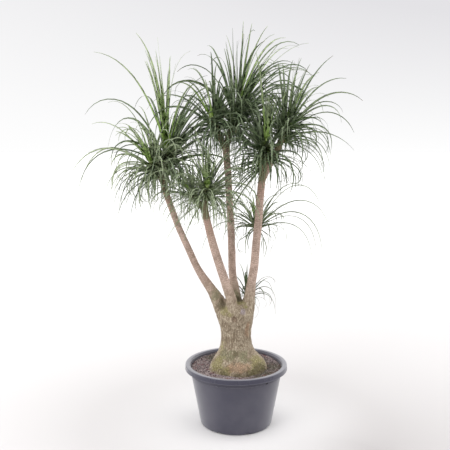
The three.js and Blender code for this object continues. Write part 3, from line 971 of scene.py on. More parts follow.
class Wood:
    """Where the wood is, so that bark can be marked along it and leaves can pass it by."""

    candidates = 4  # the cross-sections among which the one with the nearest skin is sought

    def __init__(self) -> None:
        """Gathers the cross-sections of every limb."""
        self.stations = [station for limb in (CAUDEX, *SHOOTS.values()) for station in limb.stations()]
        self.tree = kdtree.KDTree(len(self.stations))
        for index, station in enumerate(self.stations):
            self.tree.insert(station.centre, index)
        self.tree.balance()

    def nearest(self, place: Vector) -> Station:
        """Finds the cross-section of the limb whose skin a point lies on.

        Args:
            place: the point, in metres.

        Returns:
            The cross-section.
        """
        found = [self.stations[index] for _, index, _ in self.tree.find_n(place, self.candidates)]
        return min(found, key=lambda station: (place - station.centre).length - station.radius)

    def is_clear(self, line: list[Vector], room: float) -> bool:
        """Tests whether a line keeps off the wood.

        Args:
            line: its points, in metres.
            room: the least distance from the bark, in metres.

        Returns:
            Whether it does.
        """
        for point in line:
            _, index, distance = self.tree.find(point)
            if distance < self.stations[index].radius + room:
                return False
        return True


WOOD = Wood()


@dataclass(frozen=True)
class Crease:
    """A fold in the front of the bark: points x, z down it, its half width and its depth, in millimetres."""

    points: tuple[Pair, ...]
    width: float
    depth: float

    def share(self, x: float, z: float) -> float:
        """Reads how much of the fold's depth is reached.

        Args:
            x: across the trunk, in millimetres.
            z: height in millimetres.

        Returns:
            From 0 off the fold to 1 in its middle.
        """
        if not self.points[-1][1] - self.width < z < self.points[0][1] + self.width:
            return 0.0
        place = Vector((x, z))
        ends = [Vector(point) for point in self.points]
        away = min(self._away(place, start, end) for start, end in zip(ends, ends[1:]))
        return math.exp(-((away / self.width) ** 2))

    def _away(self, place: Vector, start: Vector, end: Vector) -> float:
        """Returns how far a place is from a stretch of the fold."""
        foot, share = geometry.intersect_point_line(place, start, end)
        return (place - (start if share < 0 else end if share > 1 else foot.to_2d())).length


@dataclass
class Trunk:
    """The swollen base and every shoot, grown together in one skin of bark. Sizes are in millimetres."""

    soil_level: float = 275
    buttresses: int = 5
    buttress_turn: float = 1
    buttress_depth: float = 0.035
    buttress_top: float = 430
    sides: int = 24
    voxel: float = 3.2
    passes: int = 5
    crotch_passes: int = 10
    crotch: Pair = (545, 720)  # heights between which the limbs flow together
    shoot_start: Pair = (565, 760)  # heights over which plates give way to rings
    plate: float = 9
    plate_tall: float = 3.4
    plate_depth: float = 2.2
    plate_bend: float = 0.6
    crack_edge: Pair = (0.03, 0.3)
    collar: Pair = (75, 115)  # how far below a tip the old leaf bases end
    fresh: Pair = (120, 260)  # and the bare young bark below them
    swell: float = 1.6
    swell_size: float = 45
    swell_lost: float = 0.6  # how much of the swell the shoots don't have
    grain: float = 0.35
    grain_size: float = 7
    knot: Place = (-12, -90, 545)
    knot_radius: float = 13
    knot_rim: Pair = (2.6, 0.35)  # its height, and its width as a share of the radius
    knot_hollow: Pair = (3.2, 0.6)
    crease_front: Pair = (0.2, 0.02)  # creases stay on skin that faces the front, before this place along Y
    # How much painted shade darkens the folds, drawn with the cracks' colour.
    crease_shade: float = 0.8
    stain_solid: float = 0.35
    stain_ragged: float = 0.5
    creases: tuple[Crease, ...] = (
        Crease(((-57, 640), (-60, 600), (-64, 570)), 9, 6),
        Crease(((4, 670), (6, 620), (11, 585)), 8, 5),
        Crease(((54, 580), (52, 530), (54, 480)), 9, 2.4),
        Crease(((53, 440), (58, 400)), 8, 1.6),
        Crease(((-34, 503), (20, 501)), 3.5, 1.4),
        Crease(((-18, 484), (34, 482)), 3.5, 1.2),
        Crease(((-46, 466), (6, 463)), 3.5, 1.2),
        Crease(((-38, 300), (-40, 272)), 4, 2.0),
        Crease(((-24, 302), (-26, 274)), 4, 2.0),
    )

    def build(self) -> bpy.types.Object:
        """Makes the trunk and stands it for the CAD node.

        Returns:
            The trunk.
        """
        mesh = with_modifier(self._limbs(), "REMESH", mode="VOXEL", voxel_size=self.voxel * MM)
        return add_piece("trunk_wood", self._carved(mesh), [PalmBark().material()], "bark", "trunk")

    def foot_radius(self, angle: float, z: float) -> float:
        """How far the swollen base reaches.

        Args:
            angle: direction round its middle.
            z: height in millimetres.

        Returns:
            The distance from its middle, in millimetres.
        """
        return self._caudex(z, 3) * (1 + self._swelling(angle, z))

    def _caudex(self, z: float, part: int) -> float:
        """Reads one of the base's four numbers at a height in millimetres."""
        heights = [point[2] for point in CAUDEX.points]
        return float(np.interp(z, heights, [point[part] for point in CAUDEX.points]))

    def _swelling(self, angle: float, z: float) -> float:
        """The share by which the buttresses stand out at an angle and a height in millimetres."""
        foot = smooth_step(0, self.buttress_top - self.soil_level, self.buttress_top - z)
        return foot * self.buttress_depth * math.cos(self.buttresses * angle + self.buttress_turn)

    def _limbs(self) -> bpy.types.Mesh:
        """Grows the base and the shoots as closed limbs that reach into each other.

        Returns:
            Their mesh, not yet joined.
        """
        bm = bmesh.new()
        for vert in CAUDEX.grow(bm, self.sides * 2):
            z = vert.co.z / MM
            middle = Vector((self._caudex(z, 0) * MM, 0, vert.co.z))
            outward = vert.co - middle
            vert.co = middle + outward * (1 + self._swelling(math.atan2(outward.y, outward.x), z))
        for limb in SHOOTS.values():
            limb.grow(bm, self.sides)
        return finished(bm, "limbs")

    def _carved(self, mesh: bpy.types.Mesh) -> bpy.types.Mesh:
        """Smooths the joined skin and works the bark's relief and marks into it.

        Args:
            mesh: the joined skin, which is removed.

        Returns:
            The finished skin.
        """
        bm = bmesh.new()
        bm.from_mesh(mesh)
        bpy.data.meshes.remove(mesh)
        low, high = (z * MM for z in self.crotch)
        crotch = [vert for vert in bm.verts if low < vert.co.z < high]
        for verts, passes in ((list(bm.verts), self.passes), (crotch, self.crotch_passes)):
            for _ in range(passes):
                bmesh.ops.smooth_vert(bm, verts=verts, factor=0.5, **ALL_WAYS)
        bm.normal_update()
        marks = [self._mark(vert.co.copy(), vert.normal.copy()) for vert in bm.verts]
        for vert, mark in zip(bm.verts, marks):
            vert.co += vert.normal * mark["lift"]
        carved = finished(bm, "trunk_wood")
        for name in BARK_READINGS:
            write_attribute(carved, name, [mark[name] for mark in marks])
        return carved

    def _mark(self, place: Vector, normal: Vector) -> dict[str, float]:
        """Reads the bark at one point of the skin.

        Args:
            place: the point, in metres.
            normal: which way the skin faces there.

        Returns:
            How far the bark stands out, and the values of its attributes.
        """
        station = WOOD.nearest(place)
        shoot = smooth_step(*self.shoot_start, place.z / MM)
        lift, crack = self._relief(place, normal, shoot)
        values = {
            "lift": lift * MM,
            "crack": crack,
            "shoot": shoot,
            "along": station.along + (place - station.centre).dot(station.axis),
            "collar": shoot * (1 - smooth_step(*self.collar, station.left / MM)),
            "fresh": shoot * (1 - smooth_step(*self.fresh, station.left / MM)),
        }
        for stain, patches in STAINS.items():
            shares = [patch.share(place, self.stain_solid, self.stain_ragged) for patch in patches]
            values[stain.value] = max(0.0, *shares)
        return values

    def _relief(self, place: Vector, normal: Vector, shoot: float) -> Pair:
        """Works out the bark's swells, cracks, folds and knot.

        Args:
            place: a point of the skin, in metres.
            normal: which way the skin faces there.
            shoot: how much of it is shoot.

        Returns:
            How far the bark stands out, in millimetres, and how deep its cracks are, with painted shade in
            the folds, from 0 to 1.
        """
        cell = Vector((place.x, place.y, place.z / self.plate_tall)) / (self.plate * MM)
        cell += noise.noise_vector(place / (self.swell_size * MM)) * self.plate_bend
        near = noise.voronoi(cell)[0]
        crack = 1 - smooth_step(*self.crack_edge, near[1] - near[0])
        swell = noise.fractal(place / (self.swell_size * MM), 1.0, 2.0, 3)
        lift = swell * self.swell * (1 - self.swell_lost * shoot)
        lift += noise.noise(place / (self.grain_size * MM)) * self.grain
        lift -= crack * self.plate_depth * (1 - shoot)
        if normal.y < self.crease_front[0] and place.y < self.crease_front[1]:
            for crease in self.creases:
                share = crease.share(place.x / MM, place.z / MM)
                lift -= crease.depth * share
                # Painted shade in the fold, drawn as a crack.
                crack = max(crack, self.crease_shade * share * share)
        away = (place - Vector(self.knot) * MM).length / (self.knot_radius * MM)
        (rim, rim_width), (hollow, hollow_width) = self.knot_rim, self.knot_hollow
        lift += rim * math.exp(-(((away - 1) / rim_width) ** 2))
        lift -= hollow * math.exp(-((away / hollow_width) ** 2))
        return lift, crack


# ----------------------------------------------------------------------------------- potting mix


@dataclass(frozen=True)
class Grit:
    """One kind of loose piece on the bed."""

    count: int
    size: Pair  # in millimetres
    flat: Pair  # its height against its length
    long: Pair  # and its width


@dataclass
class MixBed:
    """The potting mix: an uneven bed that fills the container to the trunk, with crumbs and chips on it."""

    trunk: Trunk
    container: Container
    level: float = 275
    depth: float = 60
    inner: float = 100  # the bed starts inside the trunk
    middle: float = 8  # along X, of the trunk's foot
    middle_fade: float = 90  # how far from the trunk the crumbs lie round the container's middle
    rings: int = 14
    steps: int = 120
    slack: float = 0.5  # between the bed and the wall
    taper: float = 8
    unevenness: float = 4
    uneven_size: float = 60
    heap: float = 8  # how much higher it lies behind the trunk
    heap_m: Pair = (-0.02, 0.2)
    crumbs: Grit = Grit(4600, (2.5, 7), (0.55, 0.9), (0.7, 1.0))
    chips: Grit = Grit(110, (10, 26), (0.22, 0.22), (0.3, 0.5))
    trunk_room: float = 2
    wall_room: float = 3
    tilt: float = 0.5
    lift: float = 0.25  # how far a crumb's middle lies above the bed, as a share of its height
    bed_tint: float = 0.55
    crumb_bloom_and_shade: Pair = (0.3, 1.0)
    # Painted shade, partly a green bloom where the mix stays wet: darker to the right and at the back.
    damp: tuple[Patch, ...] = (
        Patch(140, -120, 275, 105), Patch(170, 0, 275, 90), Patch(110, 90, 275, 70), Patch(-100, 130, 275, 80)
    )
    damp_solid: float = 0.3
    damp_most: float = 0.9

    def build(self) -> None:
        """Makes the bed and what lies on it, and stands them for the CAD node."""
        finish = PottingMix().material()
        add_piece("potting_mix_bed", self._bed(), [finish], "potting_mix", "soil")
        add_piece("potting_mix_crumbs", self._crumbs(), [finish], "potting_mix")

    def _edge(self) -> float:
        """Returns the radius of the container's inside at the level of the mix, in millimetres."""
        return self.container.collar_radius - self.container.wall - self.slack

    def _height(self, x: float, y: float) -> float:
        """Returns how high the bed is at a place, all in metres."""
        rough = noise.fractal(Vector((x, y, 0)) / (self.uneven_size * MM), 1.0, 2.0, 4) * self.unevenness
        return (self.level + smooth_step(*self.heap_m, y) * self.heap + rough) * MM

    def _bloom_and_shade(self, place: Vector) -> float:
        """Returns how green and dark the mix is at a place, from 0 to 1: a bloom that is partly painted
        shade.
        """
        return self.damp_most * max(patch.share(place, self.damp_solid) for patch in self.damp)

    def _bed(self) -> bpy.types.Mesh:
        """Spins a ring-shaped bed and roughens its top.

        Returns:
            The bed.
        """
        outer = self._edge()
        top = [(mix(self.inner, outer, ring / self.rings), self.level) for ring in range(self.rings + 1)]
        foot = self.container.wall_top_radius - self.container.wall - self.taper
        low = [(foot, self.level - self.depth), (self.inner, self.level - self.depth)]
        bm = spun([*top, *low], self.steps, is_ring=True)
        for vert in bm.verts:
            if vert.co.z > (self.level - 1) * MM:
                vert.co.z = self._height(vert.co.x, vert.co.y)
        mesh = finished(bm, "potting_mix_bed")
        bloom_and_shade_shares = [self._bloom_and_shade(vert.co) for vert in mesh.vertices]
        write_attribute(mesh, "tint", np.full(len(bloom_and_shade_shares), self.bed_tint))
        write_attribute(mesh, "chip", np.zeros(len(bloom_and_shade_shares)))
        # The moss attribute carries the bloom and its painted shade.
        write_attribute(mesh, "moss", bloom_and_shade_shares)
        return mesh

    def _crumbs(self) -> bpy.types.Mesh:
        """Scatters crumbs and chips over the bed.

        Returns:
            All of them in one mesh.
        """
        chance = random.Random(f"{SEED} crumbs")
        crumb = bmesh.new()
        bmesh.ops.create_icosphere(crumb, subdivisions=1, radius=0.5)
        bmesh.ops.smooth_vert(crumb, verts=crumb.verts[:3], factor=0.5, use_axis_x=True)
        model = finished(crumb, "crumb", smooth=False)
        shape = np.array([vert.co for vert in model.vertices])
        bm = bmesh.new()
        tints, chips, bloom_and_shade_shares = [], [], []
        for index in range(self.crumbs.count + self.chips.count):
            is_chip = index >= self.crumbs.count
            place = self._scatter(chance, self.chips if is_chip else self.crumbs)
            matrix = np.array(place)
            places = shape @ matrix[:3, :3].T + matrix[:3, 3]
            model.vertices.foreach_set("co", places.astype(np.float32).ravel())
            bm.from_mesh(model)
            tints.append(chance.random())
            chips.append(float(is_chip))
            level_place = Vector((*place.translation.xy, self.level * MM))
            bloom_and_shade_shares.append(self._bloom_and_shade(level_place) * chance.uniform(*self.crumb_bloom_and_shade))
        mesh = finished(bm, "potting_mix_crumbs", smooth=False)
        bpy.data.meshes.remove(model)
        for name, values in (("tint", tints), ("chip", chips), ("moss", bloom_and_shade_shares)):
            write_attribute(mesh, name, np.repeat(values, len(shape)))
        return mesh

    def _scatter(self, chance: random.Random, grit: Grit) -> Matrix:
        """Draws where one piece of grit lies, between the trunk and the wall.

        Args:
            chance: what it is drawn with.
            grit: the kind of piece.

        Returns:
            Its place, turn and size.
        """
        angle = chance.uniform(0, 2 * math.pi)
        start = self.trunk.foot_radius(angle, self.level) + self.trunk_room
        radius = math.sqrt(chance.uniform(start**2, (self._edge() - self.wall_room) ** 2))
        off_centre = self.middle * (1 - (radius - start) / self.middle_fade)
        x, y = (radius * math.cos(angle) + off_centre) * MM, radius * math.sin(angle) * MM
        size = chance.uniform(*grit.size) * MM
        flat = grit.flat[0] if grit.flat[0] == grit.flat[1] else chance.uniform(*grit.flat)
        long = chance.uniform(*grit.long)
        turn = Matrix.Rotation(chance.uniform(0, 2 * math.pi), 4, "Z")
        tilt = Matrix.Rotation(chance.uniform(-self.tilt, self.tilt), 4, "X")
        scale = Matrix.Diagonal((size, size * long, size * flat, 1))
        return Matrix.Translation((x, y, self._height(x, y) + size * flat * self.lift)) @ turn @ tilt @ scale


# ----------------------------------------------------------------------------------------- leaves


class Stage(Enum):
    """How old a leaf is; each value starts the name of its CAD node."""

    MATURE = "crown"
    YOUNG = "heart"


@dataclass(frozen=True)
class Habit:
    """How the leaves of one stage stand; each pair is for the lowest leaf and the highest."""

    polar: Pair  # angle from the shoot
    droop: Pair
    length: Pair  # as shares of a full leaf
    curl: Pair  # how far the tip turns in under the leaf
    wave: Pair  # how wide the leaf's curls are
    sway: float  # sideways turn along the leaf
    roll: float  # twist along the leaf
    width: Pair  # in millimetres
    roots: Pair  # the stretch of the tip that the roots fill
    depth: float  # how deep they sit in it
    slot: str


HABITS = {
    Stage.YOUNG: Habit(
        polar=(0.3, 0.04), droop=(1.8, 1.0), length=(0.9, 0.7), curl=(0.2, 0.0), wave=(0.1, 0.0), sway=0.3,
        roll=0.5, width=(16.0, 17.0), roots=(0.1, 0.8), depth=0.45, slot="young_leaf",
    ),
    Stage.MATURE: Habit(
        polar=(1.95, 0.3), droop=(3.3, 2.2), length=(0.44, 0.98), curl=(2.1, 0.1), wave=(1.2, 0.1), sway=0.6,
        roll=1.0, width=(7.8, 17.0), roots=(0.03, 0.95), depth=0.75, slot="mature_leaf",
    ),
}
FINISHES: dict[Stage, tuple[Finish, Finish]] = {
    Stage.YOUNG: (
        StrapLeaf("young_strap_leaf", "#8a9d72", "#cbd8b0", "#b8dc6c", 0.6),
        LeafBaseFibre("heart_sheath", "#7d8f52", "#b7cf7e"),
    ),
    Stage.MATURE: (StrapLeaf("mature_strap_leaf", "#426236", "#c1cdac", "#b0c67c", 0.1), LeafBaseFibre()),
}


@dataclass(frozen=True)
class Leaf:
    """One leaf: where it starts, which way it leaves, and how it bends. Lengths are in metres."""

    root: Vector
    heading: float
    rise: float
    length: float
    droop: float
    width: float
    sway: float = 0.0
    roll: float = 0.0
    curl: float = 0.0
    wave: float = 0.0
    phase: float = 0.0
    twist: float = 0.0
    droop_power: float = 2.6
    wave_turn: float = 3 * math.pi  # how far its curls turn from root to tip
    wave_rise: float = 0.5  # how high they are against their width

    def line(self, steps: int) -> list[tuple[Vector, Vector, Vector]]:
        """Follows the leaf from its root, turned down by its own weight.

        Args:
            steps: how many steps to take.

        Returns:
            At each step the point, the way to the blade's left edge, and the way that its face looks.
        """
        stiffness = math.asinh(math.tan(self.rise))
        point = self.root.copy()
        found = []
        for step in range(steps + 1):
            share = step / steps
            slope = math.atan(math.sinh(stiffness - self.droop * share**self.droop_power))
            slope -= self.curl * share**3
            curl_turn = self.phase + self.wave_turn * share
            slope += self.wave_rise * self.wave * share * math.sin(curl_turn)
            heading = self.heading + self.sway * share * share + self.wave * share * math.cos(curl_turn)
            level = Vector((math.cos(heading), math.sin(heading), 0))
            side = Vector((-level.y, level.x, 0))
            along = level * math.cos(slope) + UP * math.sin(slope)
            above = along.cross(side)
            turn = self.twist + self.roll * share
            left = side * math.cos(turn) + above * math.sin(turn)
            found.append((point.copy(), left, above * math.cos(turn) - side * math.sin(turn)))
            point += along * self.length / steps
        return found


@dataclass(frozen=True)
class Reach:
    """A leaf that reaches out of its head: angles at its root in degrees, lengths in millimetres."""

    heading: float
    rise: float
    length: float
    droop: float
    width: float = 14


@dataclass(frozen=True)
class Head:
    """One head of leaves at a shoot's tip, in millimetres."""

    core: float
    leaf: float
    mature: int  # how many mature leaves stand in its spiral
    young: int
    tint: float  # how light the mature ones are, from 0 to 1
    weight: float = 1.0  # how much more than usual its leaves droop and curl
    width: float = 1.0  # its leaves' width against the usual
    open_to: float | None = None  # the side, in degrees, on which its leaves spread and show its heart
    thin_to: float | None = None  # the side on which most of its spreading leaves have gone
    hang: float = 1.0  # how much longer than usual its lowest leaves are
    reach: Rows = ()  # the mature leaves that reach out, each a row for Reach
    young_reach: Rows = ()


HEADS: dict[str, Head] = {
    "left_top": Head(
        115, 470, 104, 8, 0.25, weight=1.2, open_to=-90, thin_to=180, hang=1.2,
        reach=(
            (15, 50, 340, 1.4, 16), (-5, 44, 340, 1.6, 16), (30, 58, 350, 1.4, 16), (-25, 48, 330, 1.6, 16),
            (5, 66, 330, 1.2, 16), (-15, 70, 340, 1.0, 16), (170, 12, 330, 3.4, 8), (195, 0, 320, 3.2, 8),
            (150, 8, 340, 3.2, 8), (215, 10, 340, 3.6, 8), (180, -8, 300, 2.8, 8), (200, 18, 330, 4.0, 8),
            (160, -5, 310, 3.0, 8), (235, 0, 320, 3.4, 8), (190, -14, 330, 2.4, 8), (210, -10, 320, 2.8, 8),
            (175, 4, 350, 3.0, 8), (225, -12, 300, 2.6, 8), (40, 75, 478, 2), (0, 70, 367, 1.3, 16),
            (190, 66, 525, 3), (140, 55, 587, 3.6), (-30, 62, 400, 1.2, 17), (-10, 52, 430, 1.4, 16),
            (20, 66, 450, 1.6, 17), (-50, 70, 410, 1.2, 17), (10, 42, 430, 1.6, 15), (5, 26, 400, 2, 14),
            (-15, 58, 440, 1.9, 17), (185, 30, 520, 3.0, 11),
        ),
        young_reach=(
            (200, 84, 537, 2.2, 17), (220, 86, 494, 0.5, 17), (200, 70, 566, 1.8, 16),
            (-20, 87, 470, 3.6, 16), (205, 82, 430, 1.0, 18), (215, 80, 400, 1.2, 17),
            (190, 83, 450, 1.4, 17), (240, 85, 380, 0.9, 17), (230, 78, 340, 1.2, 17),
            (200, 86, 440, 1.0, 20), (180, 81, 400, 0.9, 20), (250, 84, 410, 1.0, 20),
            (210, 87, 360, 0.6, 20),
        ),
    ),
    "left_side": Head(
        62, 290, 142, 6, 0.85, weight=1.5, width=0.85, open_to=-90, thin_to=165, hang=1.45,
        reach=(
            (180, 26, 270, 2.8, 8), (200, 18, 270, 2.6, 8), (165, 20, 270, 2.8, 8), (215, 14, 260, 3.2, 8),
            (190, 30, 280, 3.4, 8), (175, 10, 260, 2.4, 8), (205, 22, 270, 3.6, 8), (185, 20, 290, 2.6, 8),
            (140, 27, 705, 2, 12), (220, 35, 484, 2, 12),
        ),
        young_reach=(
            (250, 50, 200, 1.0, 16), (230, 60, 200, 0.8, 16), (210, 65, 200, 0.8, 16),
            (270, 42, 190, 1.2, 16), (200, 55, 210, 1.0, 16), (240, 70, 200, 0.6, 16),
        ),
    ),
    "front_top": Head(
        56, 270, 160, 4, 0.76, weight=1.05, width=0.6, open_to=-80, hang=1.5,
        reach=(
            (200, -30, 260, 1.2, 7), (220, -20, 270, 1.6, 7), (330, -30, 260, 1.2, 7),
            (310, -20, 270, 1.6, 7), (180, -35, 250, 1.0, 7), (0, -35, 250, 1.0, 7), (240, -30, 240, 1.2, 7),
            (300, -32, 240, 1.2, 7), (0, 35, 330, 3.5, 11), (-15, 20, 330, 3, 11), (15, 50, 310, 4, 12),
            (10, 8, 300, 3, 10), (-10, 60, 260, 3, 12),
        ),
        young_reach=(
            (-90, 80, 150, 0.5, 20), (-60, 84, 140, 0.5, 20), (-120, 84, 150, 0.5, 20),
            (-80, 87, 165, 0.4, 20), (-100, 76, 130, 0.6, 20), (-140, 68, 130, 0.7, 22),
            (-40, 68, 130, 0.7, 22), (-90, 62, 120, 0.5, 22), (-70, 66, 130, 0.5, 22),
            (-110, 66, 130, 0.5, 22),
        ),
    ),
    "front_side": Head(48, 250, 78, 5, 0.72, width=0.62, hang=1.5),
    "centre_top": Head(
        92, 440, 225, 12, 0.2, weight=1.05, thin_to=180, hang=1.4,
        reach=(
            (200, 78, 330, 1.2, 18), (-70, 80, 380, 0.8, 18), (160, 68, 440, 2.6, 21),
            (185, 56, 450, 2.8, 21), (20, 64, 430, 2.0, 16), (185, 89, 400, 0.4, 17), (200, 84, 310, 1.2, 18),
            (230, 82, 340, 1.0, 18), (165, 78, 320, 1.8, 18), (270, 80, 350, 1.2, 18),
            (210, 84, 330, 0.9, 18), (250, 76, 330, 1.4, 18), (290, 82, 380, 0.9, 18), (90, 38, 480, 1.4, 14),
            (104, 28, 460, 1.8, 13), (78, 46, 480, 1.8, 14), (70, 20, 440, 2.0, 12),
        ),
        young_reach=((-20, 88, 415, 0.5, 17), (-40, 81, 400, 0.5, 17), (170, 85, 350, 1.6, 15)),
    ),
    "centre_side": Head(
        62, 300, 125, 4, 0.2, weight=1.15, width=0.9, open_to=-90, thin_to=180, hang=1.1,
        reach=((170, 50, 400, 2.4, 20), (190, 40, 380, 2.6, 19)),
    ),
    "right_top": Head(
        88, 350, 165, 4, 0.3, weight=1.1, width=0.95, open_to=-90, thin_to=10, hang=1.3,
        reach=(
            (90, 76, 400, 1.2, 16), (180, -10, 300, 2.0, 8), (195, 5, 320, 2.6, 8), (165, -20, 290, 2.0, 8),
            (215, -5, 310, 2.4, 8), (150, 10, 310, 3.0, 8), (200, -16, 320, 1.6, 8), (175, -25, 300, 1.4, 8),
            (225, -20, 320, 1.4, 8), (185, -4, 330, 2.2, 8), (190, -40, 300, 0.9, 8), (170, -50, 290, 0.7, 8),
            (215, -45, 300, 0.9, 8), (240, -40, 310, 0.9, 8), (200, -34, 330, 1.1, 8),
            (225, -36, 320, 0.9, 8),
        ),
        young_reach=(
            (-60, 87, 190, 0.5, 17), (-120, 87, 180, 0.5, 17), (-90, 84, 200, 0.5, 18),
            (-90, 89, 230, 0.4, 17),
        ),
    ),
    "right_side": Head(
        80, 325, 88, 8, 0.3, weight=1.15, width=0.95, open_to=-90, hang=0.9,
        reach=(
            (-10, 10, 330, 3.6, 8), (10, 0, 330, 3.2, 8), (-25, 18, 340, 3.8, 8), (5, 26, 340, 4.2, 8),
            (-15, -6, 310, 3.0, 8), (20, 12, 330, 3.8, 8), (-35, 4, 330, 3.4, 8), (0, -12, 300, 2.6, 8),
            (-20, 52, 430, 2), (-40, 13, 395, 1.2), (10, 40, 420, 2.4), (-10, 70, 400, 1.2, 16),
            (60, 76, 380, 1.4, 16), (-30, 60, 390, 1.6, 15), (20, 84, 330, 0.8, 18), (200, 84, 300, 0.8, 18),
            (-70, 82, 300, 0.9, 18), (100, 80, 320, 1.0, 18), (-20, 78, 310, 1.1, 18), (50, 82, 280, 0.8, 18),
            (-50, 76, 280, 1.2, 18),
        ),
    ),
    "back_low": Head(
        48, 310, 50, 6, 0.45, weight=1.1, width=0.75,
        reach=(
            (30, 56, 540, 3.3, 8), (0, 47, 500, 3.7, 8), (-20, 37, 460, 3.9, 8), (10, 30, 430, 3.8, 8),
            (25, 64, 440, 3.2, 8), (-5, 20, 380, 3.6, 8), (175, 64, 430, 3.0, 9), (190, 50, 400, 3.4, 9),
            (150, 72, 420, 2.6, 10), (170, 36, 400, 3.6, 8), (200, 24, 380, 3.2, 8),
        ),
    ),
    "sprout": Head(
        20, 200, 24, 0, 0.12, weight=1.2, width=0.7,
        reach=(
            (0, 50, 230, 5.5, 6), (-10, 30, 210, 4.5, 6), (15, 64, 210, 5.0, 6), (120, 78, 180, 2.0, 8),
            (160, 70, 170, 2.6, 8),
        ),
    ),
}


@dataclass
class Blade:
    """The leaf that all others are bent from: a folded strap with a keel, one unit long and one wide."""

    stations: int = 16
    fold: float = 0.16  # how far the edges stand above the middle, as a share of the width
    keel: float = 0.06
    edge_mm: float = 0.7
    clasp: float = 1.25  # width at the root against the width above it
    clasp_end: float = 0.08
    taper_power: float = 0.6
    tip: float = 0.1  # how wide the very tip still is

    def __post_init__(self) -> None:
        """Makes the model blade and reads its points."""
        self.mesh = self._model()
        places = np.array([vert.co for vert in self.mesh.vertices])
        self.station = np.rint(places[:, 0] * self.stations).astype(int)
        self.across, self.above = places[:, 1], places[:, 2]

    def _width(self, station: int) -> float:
        """Returns the blade's width at a station, as a share of the full width."""
        share = station / self.stations
        foot = mix(self.clasp, 1, smooth_step(0, self.clasp_end, share))
        return max(self.tip, foot * (1 - share) ** self.taper_power)

    def _model(self) -> bpy.types.Mesh:
        """Extrudes the blade from its root, station by station.

        Returns:
            The blade along X, with its width along Y and its upper face up.
        """
        bm = bmesh.new()
        layer = bm.loops.layers.uv.new("blade")
        turn = Matrix.Rotation(math.pi / 2, 4, "Y") @ Matrix.Rotation(math.pi / 4, 4, "Z")
        ring = bmesh.ops.create_circle(bm, cap_ends=True, segments=4, radius=1, matrix=turn)["verts"]
        corners = ((0.5, self.fold), (0.0, self.keel), (-0.5, self.fold), (0.0, -self.keel))
        for vert, (y, z) in zip(ring, corners):
            vert.co = (0, y * self._width(0), z * self._width(0))
        face = ring[0].link_faces[0]
        for station in range(1, self.stations + 1):
            thinner = self._width(station) / self._width(station - 1)
            grown = bmesh.ops.extrude_face_region(bm, geom=[face])["geom"]
            face = next(item for item in grown if isinstance(item, bmesh.types.BMFace))
            bmesh.ops.scale(bm, vec=(1, thinner, thinner), verts=face.verts)
            bmesh.ops.translate(bm, vec=(1 / self.stations, 0, 0), verts=face.verts)
        for edge in bm.edges:
            start, end = (vert.co.x for vert in edge.verts)
            edge.smooth = abs(start - end) < 0.5 / self.stations
        for face in bm.faces:
            for loop in face.loops:
                loop[layer].uv = (loop.vert.co.y + 0.5, loop.vert.co.x)
        return finished(bm, "blade")

    def add_to(self, bm: bmesh.types.BMesh, leaf: Leaf) -> None:
        """Bends a copy of the blade along a leaf's line and adds it.

        Args:
            bm: where it is added.
            leaf: the leaf.
        """
        line = leaf.line(self.stations)
        points, sides, faces = (np.array([step[part] for step in line])[self.station] for part in range(3))
        is_middle = np.abs(self.above) < self.fold * 0.5
        thick = np.where(is_middle, np.sign(self.above) * self.edge_mm * MM / 2, self.above * leaf.width)
        places = points + sides * (self.across * leaf.width)[:, None] + faces * thick[:, None]
        self.mesh.vertices.foreach_set("co", places.astype(np.float32).ravel())
        bm.from_mesh(self.mesh)


@dataclass(frozen=True)
class Variety:
    """How much one leaf differs from the next: angles in radians, lengths and widths as shares."""

    turn: float = 0.5
    polar: float = 0.24
    droop: float = 1.2
    length: float = 0.32
    width: float = 0.3
    twist: float = 0.5
    curl: Pair = (0.1, 1.5)
    wave: Pair = (0.3, 1.2)
    wave_rate: float = 1.6  # how much sooner than the rest the curls fade, up the spiral
    reach_twist: Pair = (0.5, 1.2)
    tint: float = 0.1
    rise_tint: float = 0.09  # upright leaves are lighter
    dry_from: tuple[float, ...] = (2.0, 2.0, 0.97, 0.93)  # past 1 the tip is still green


VARIETY = Variety()


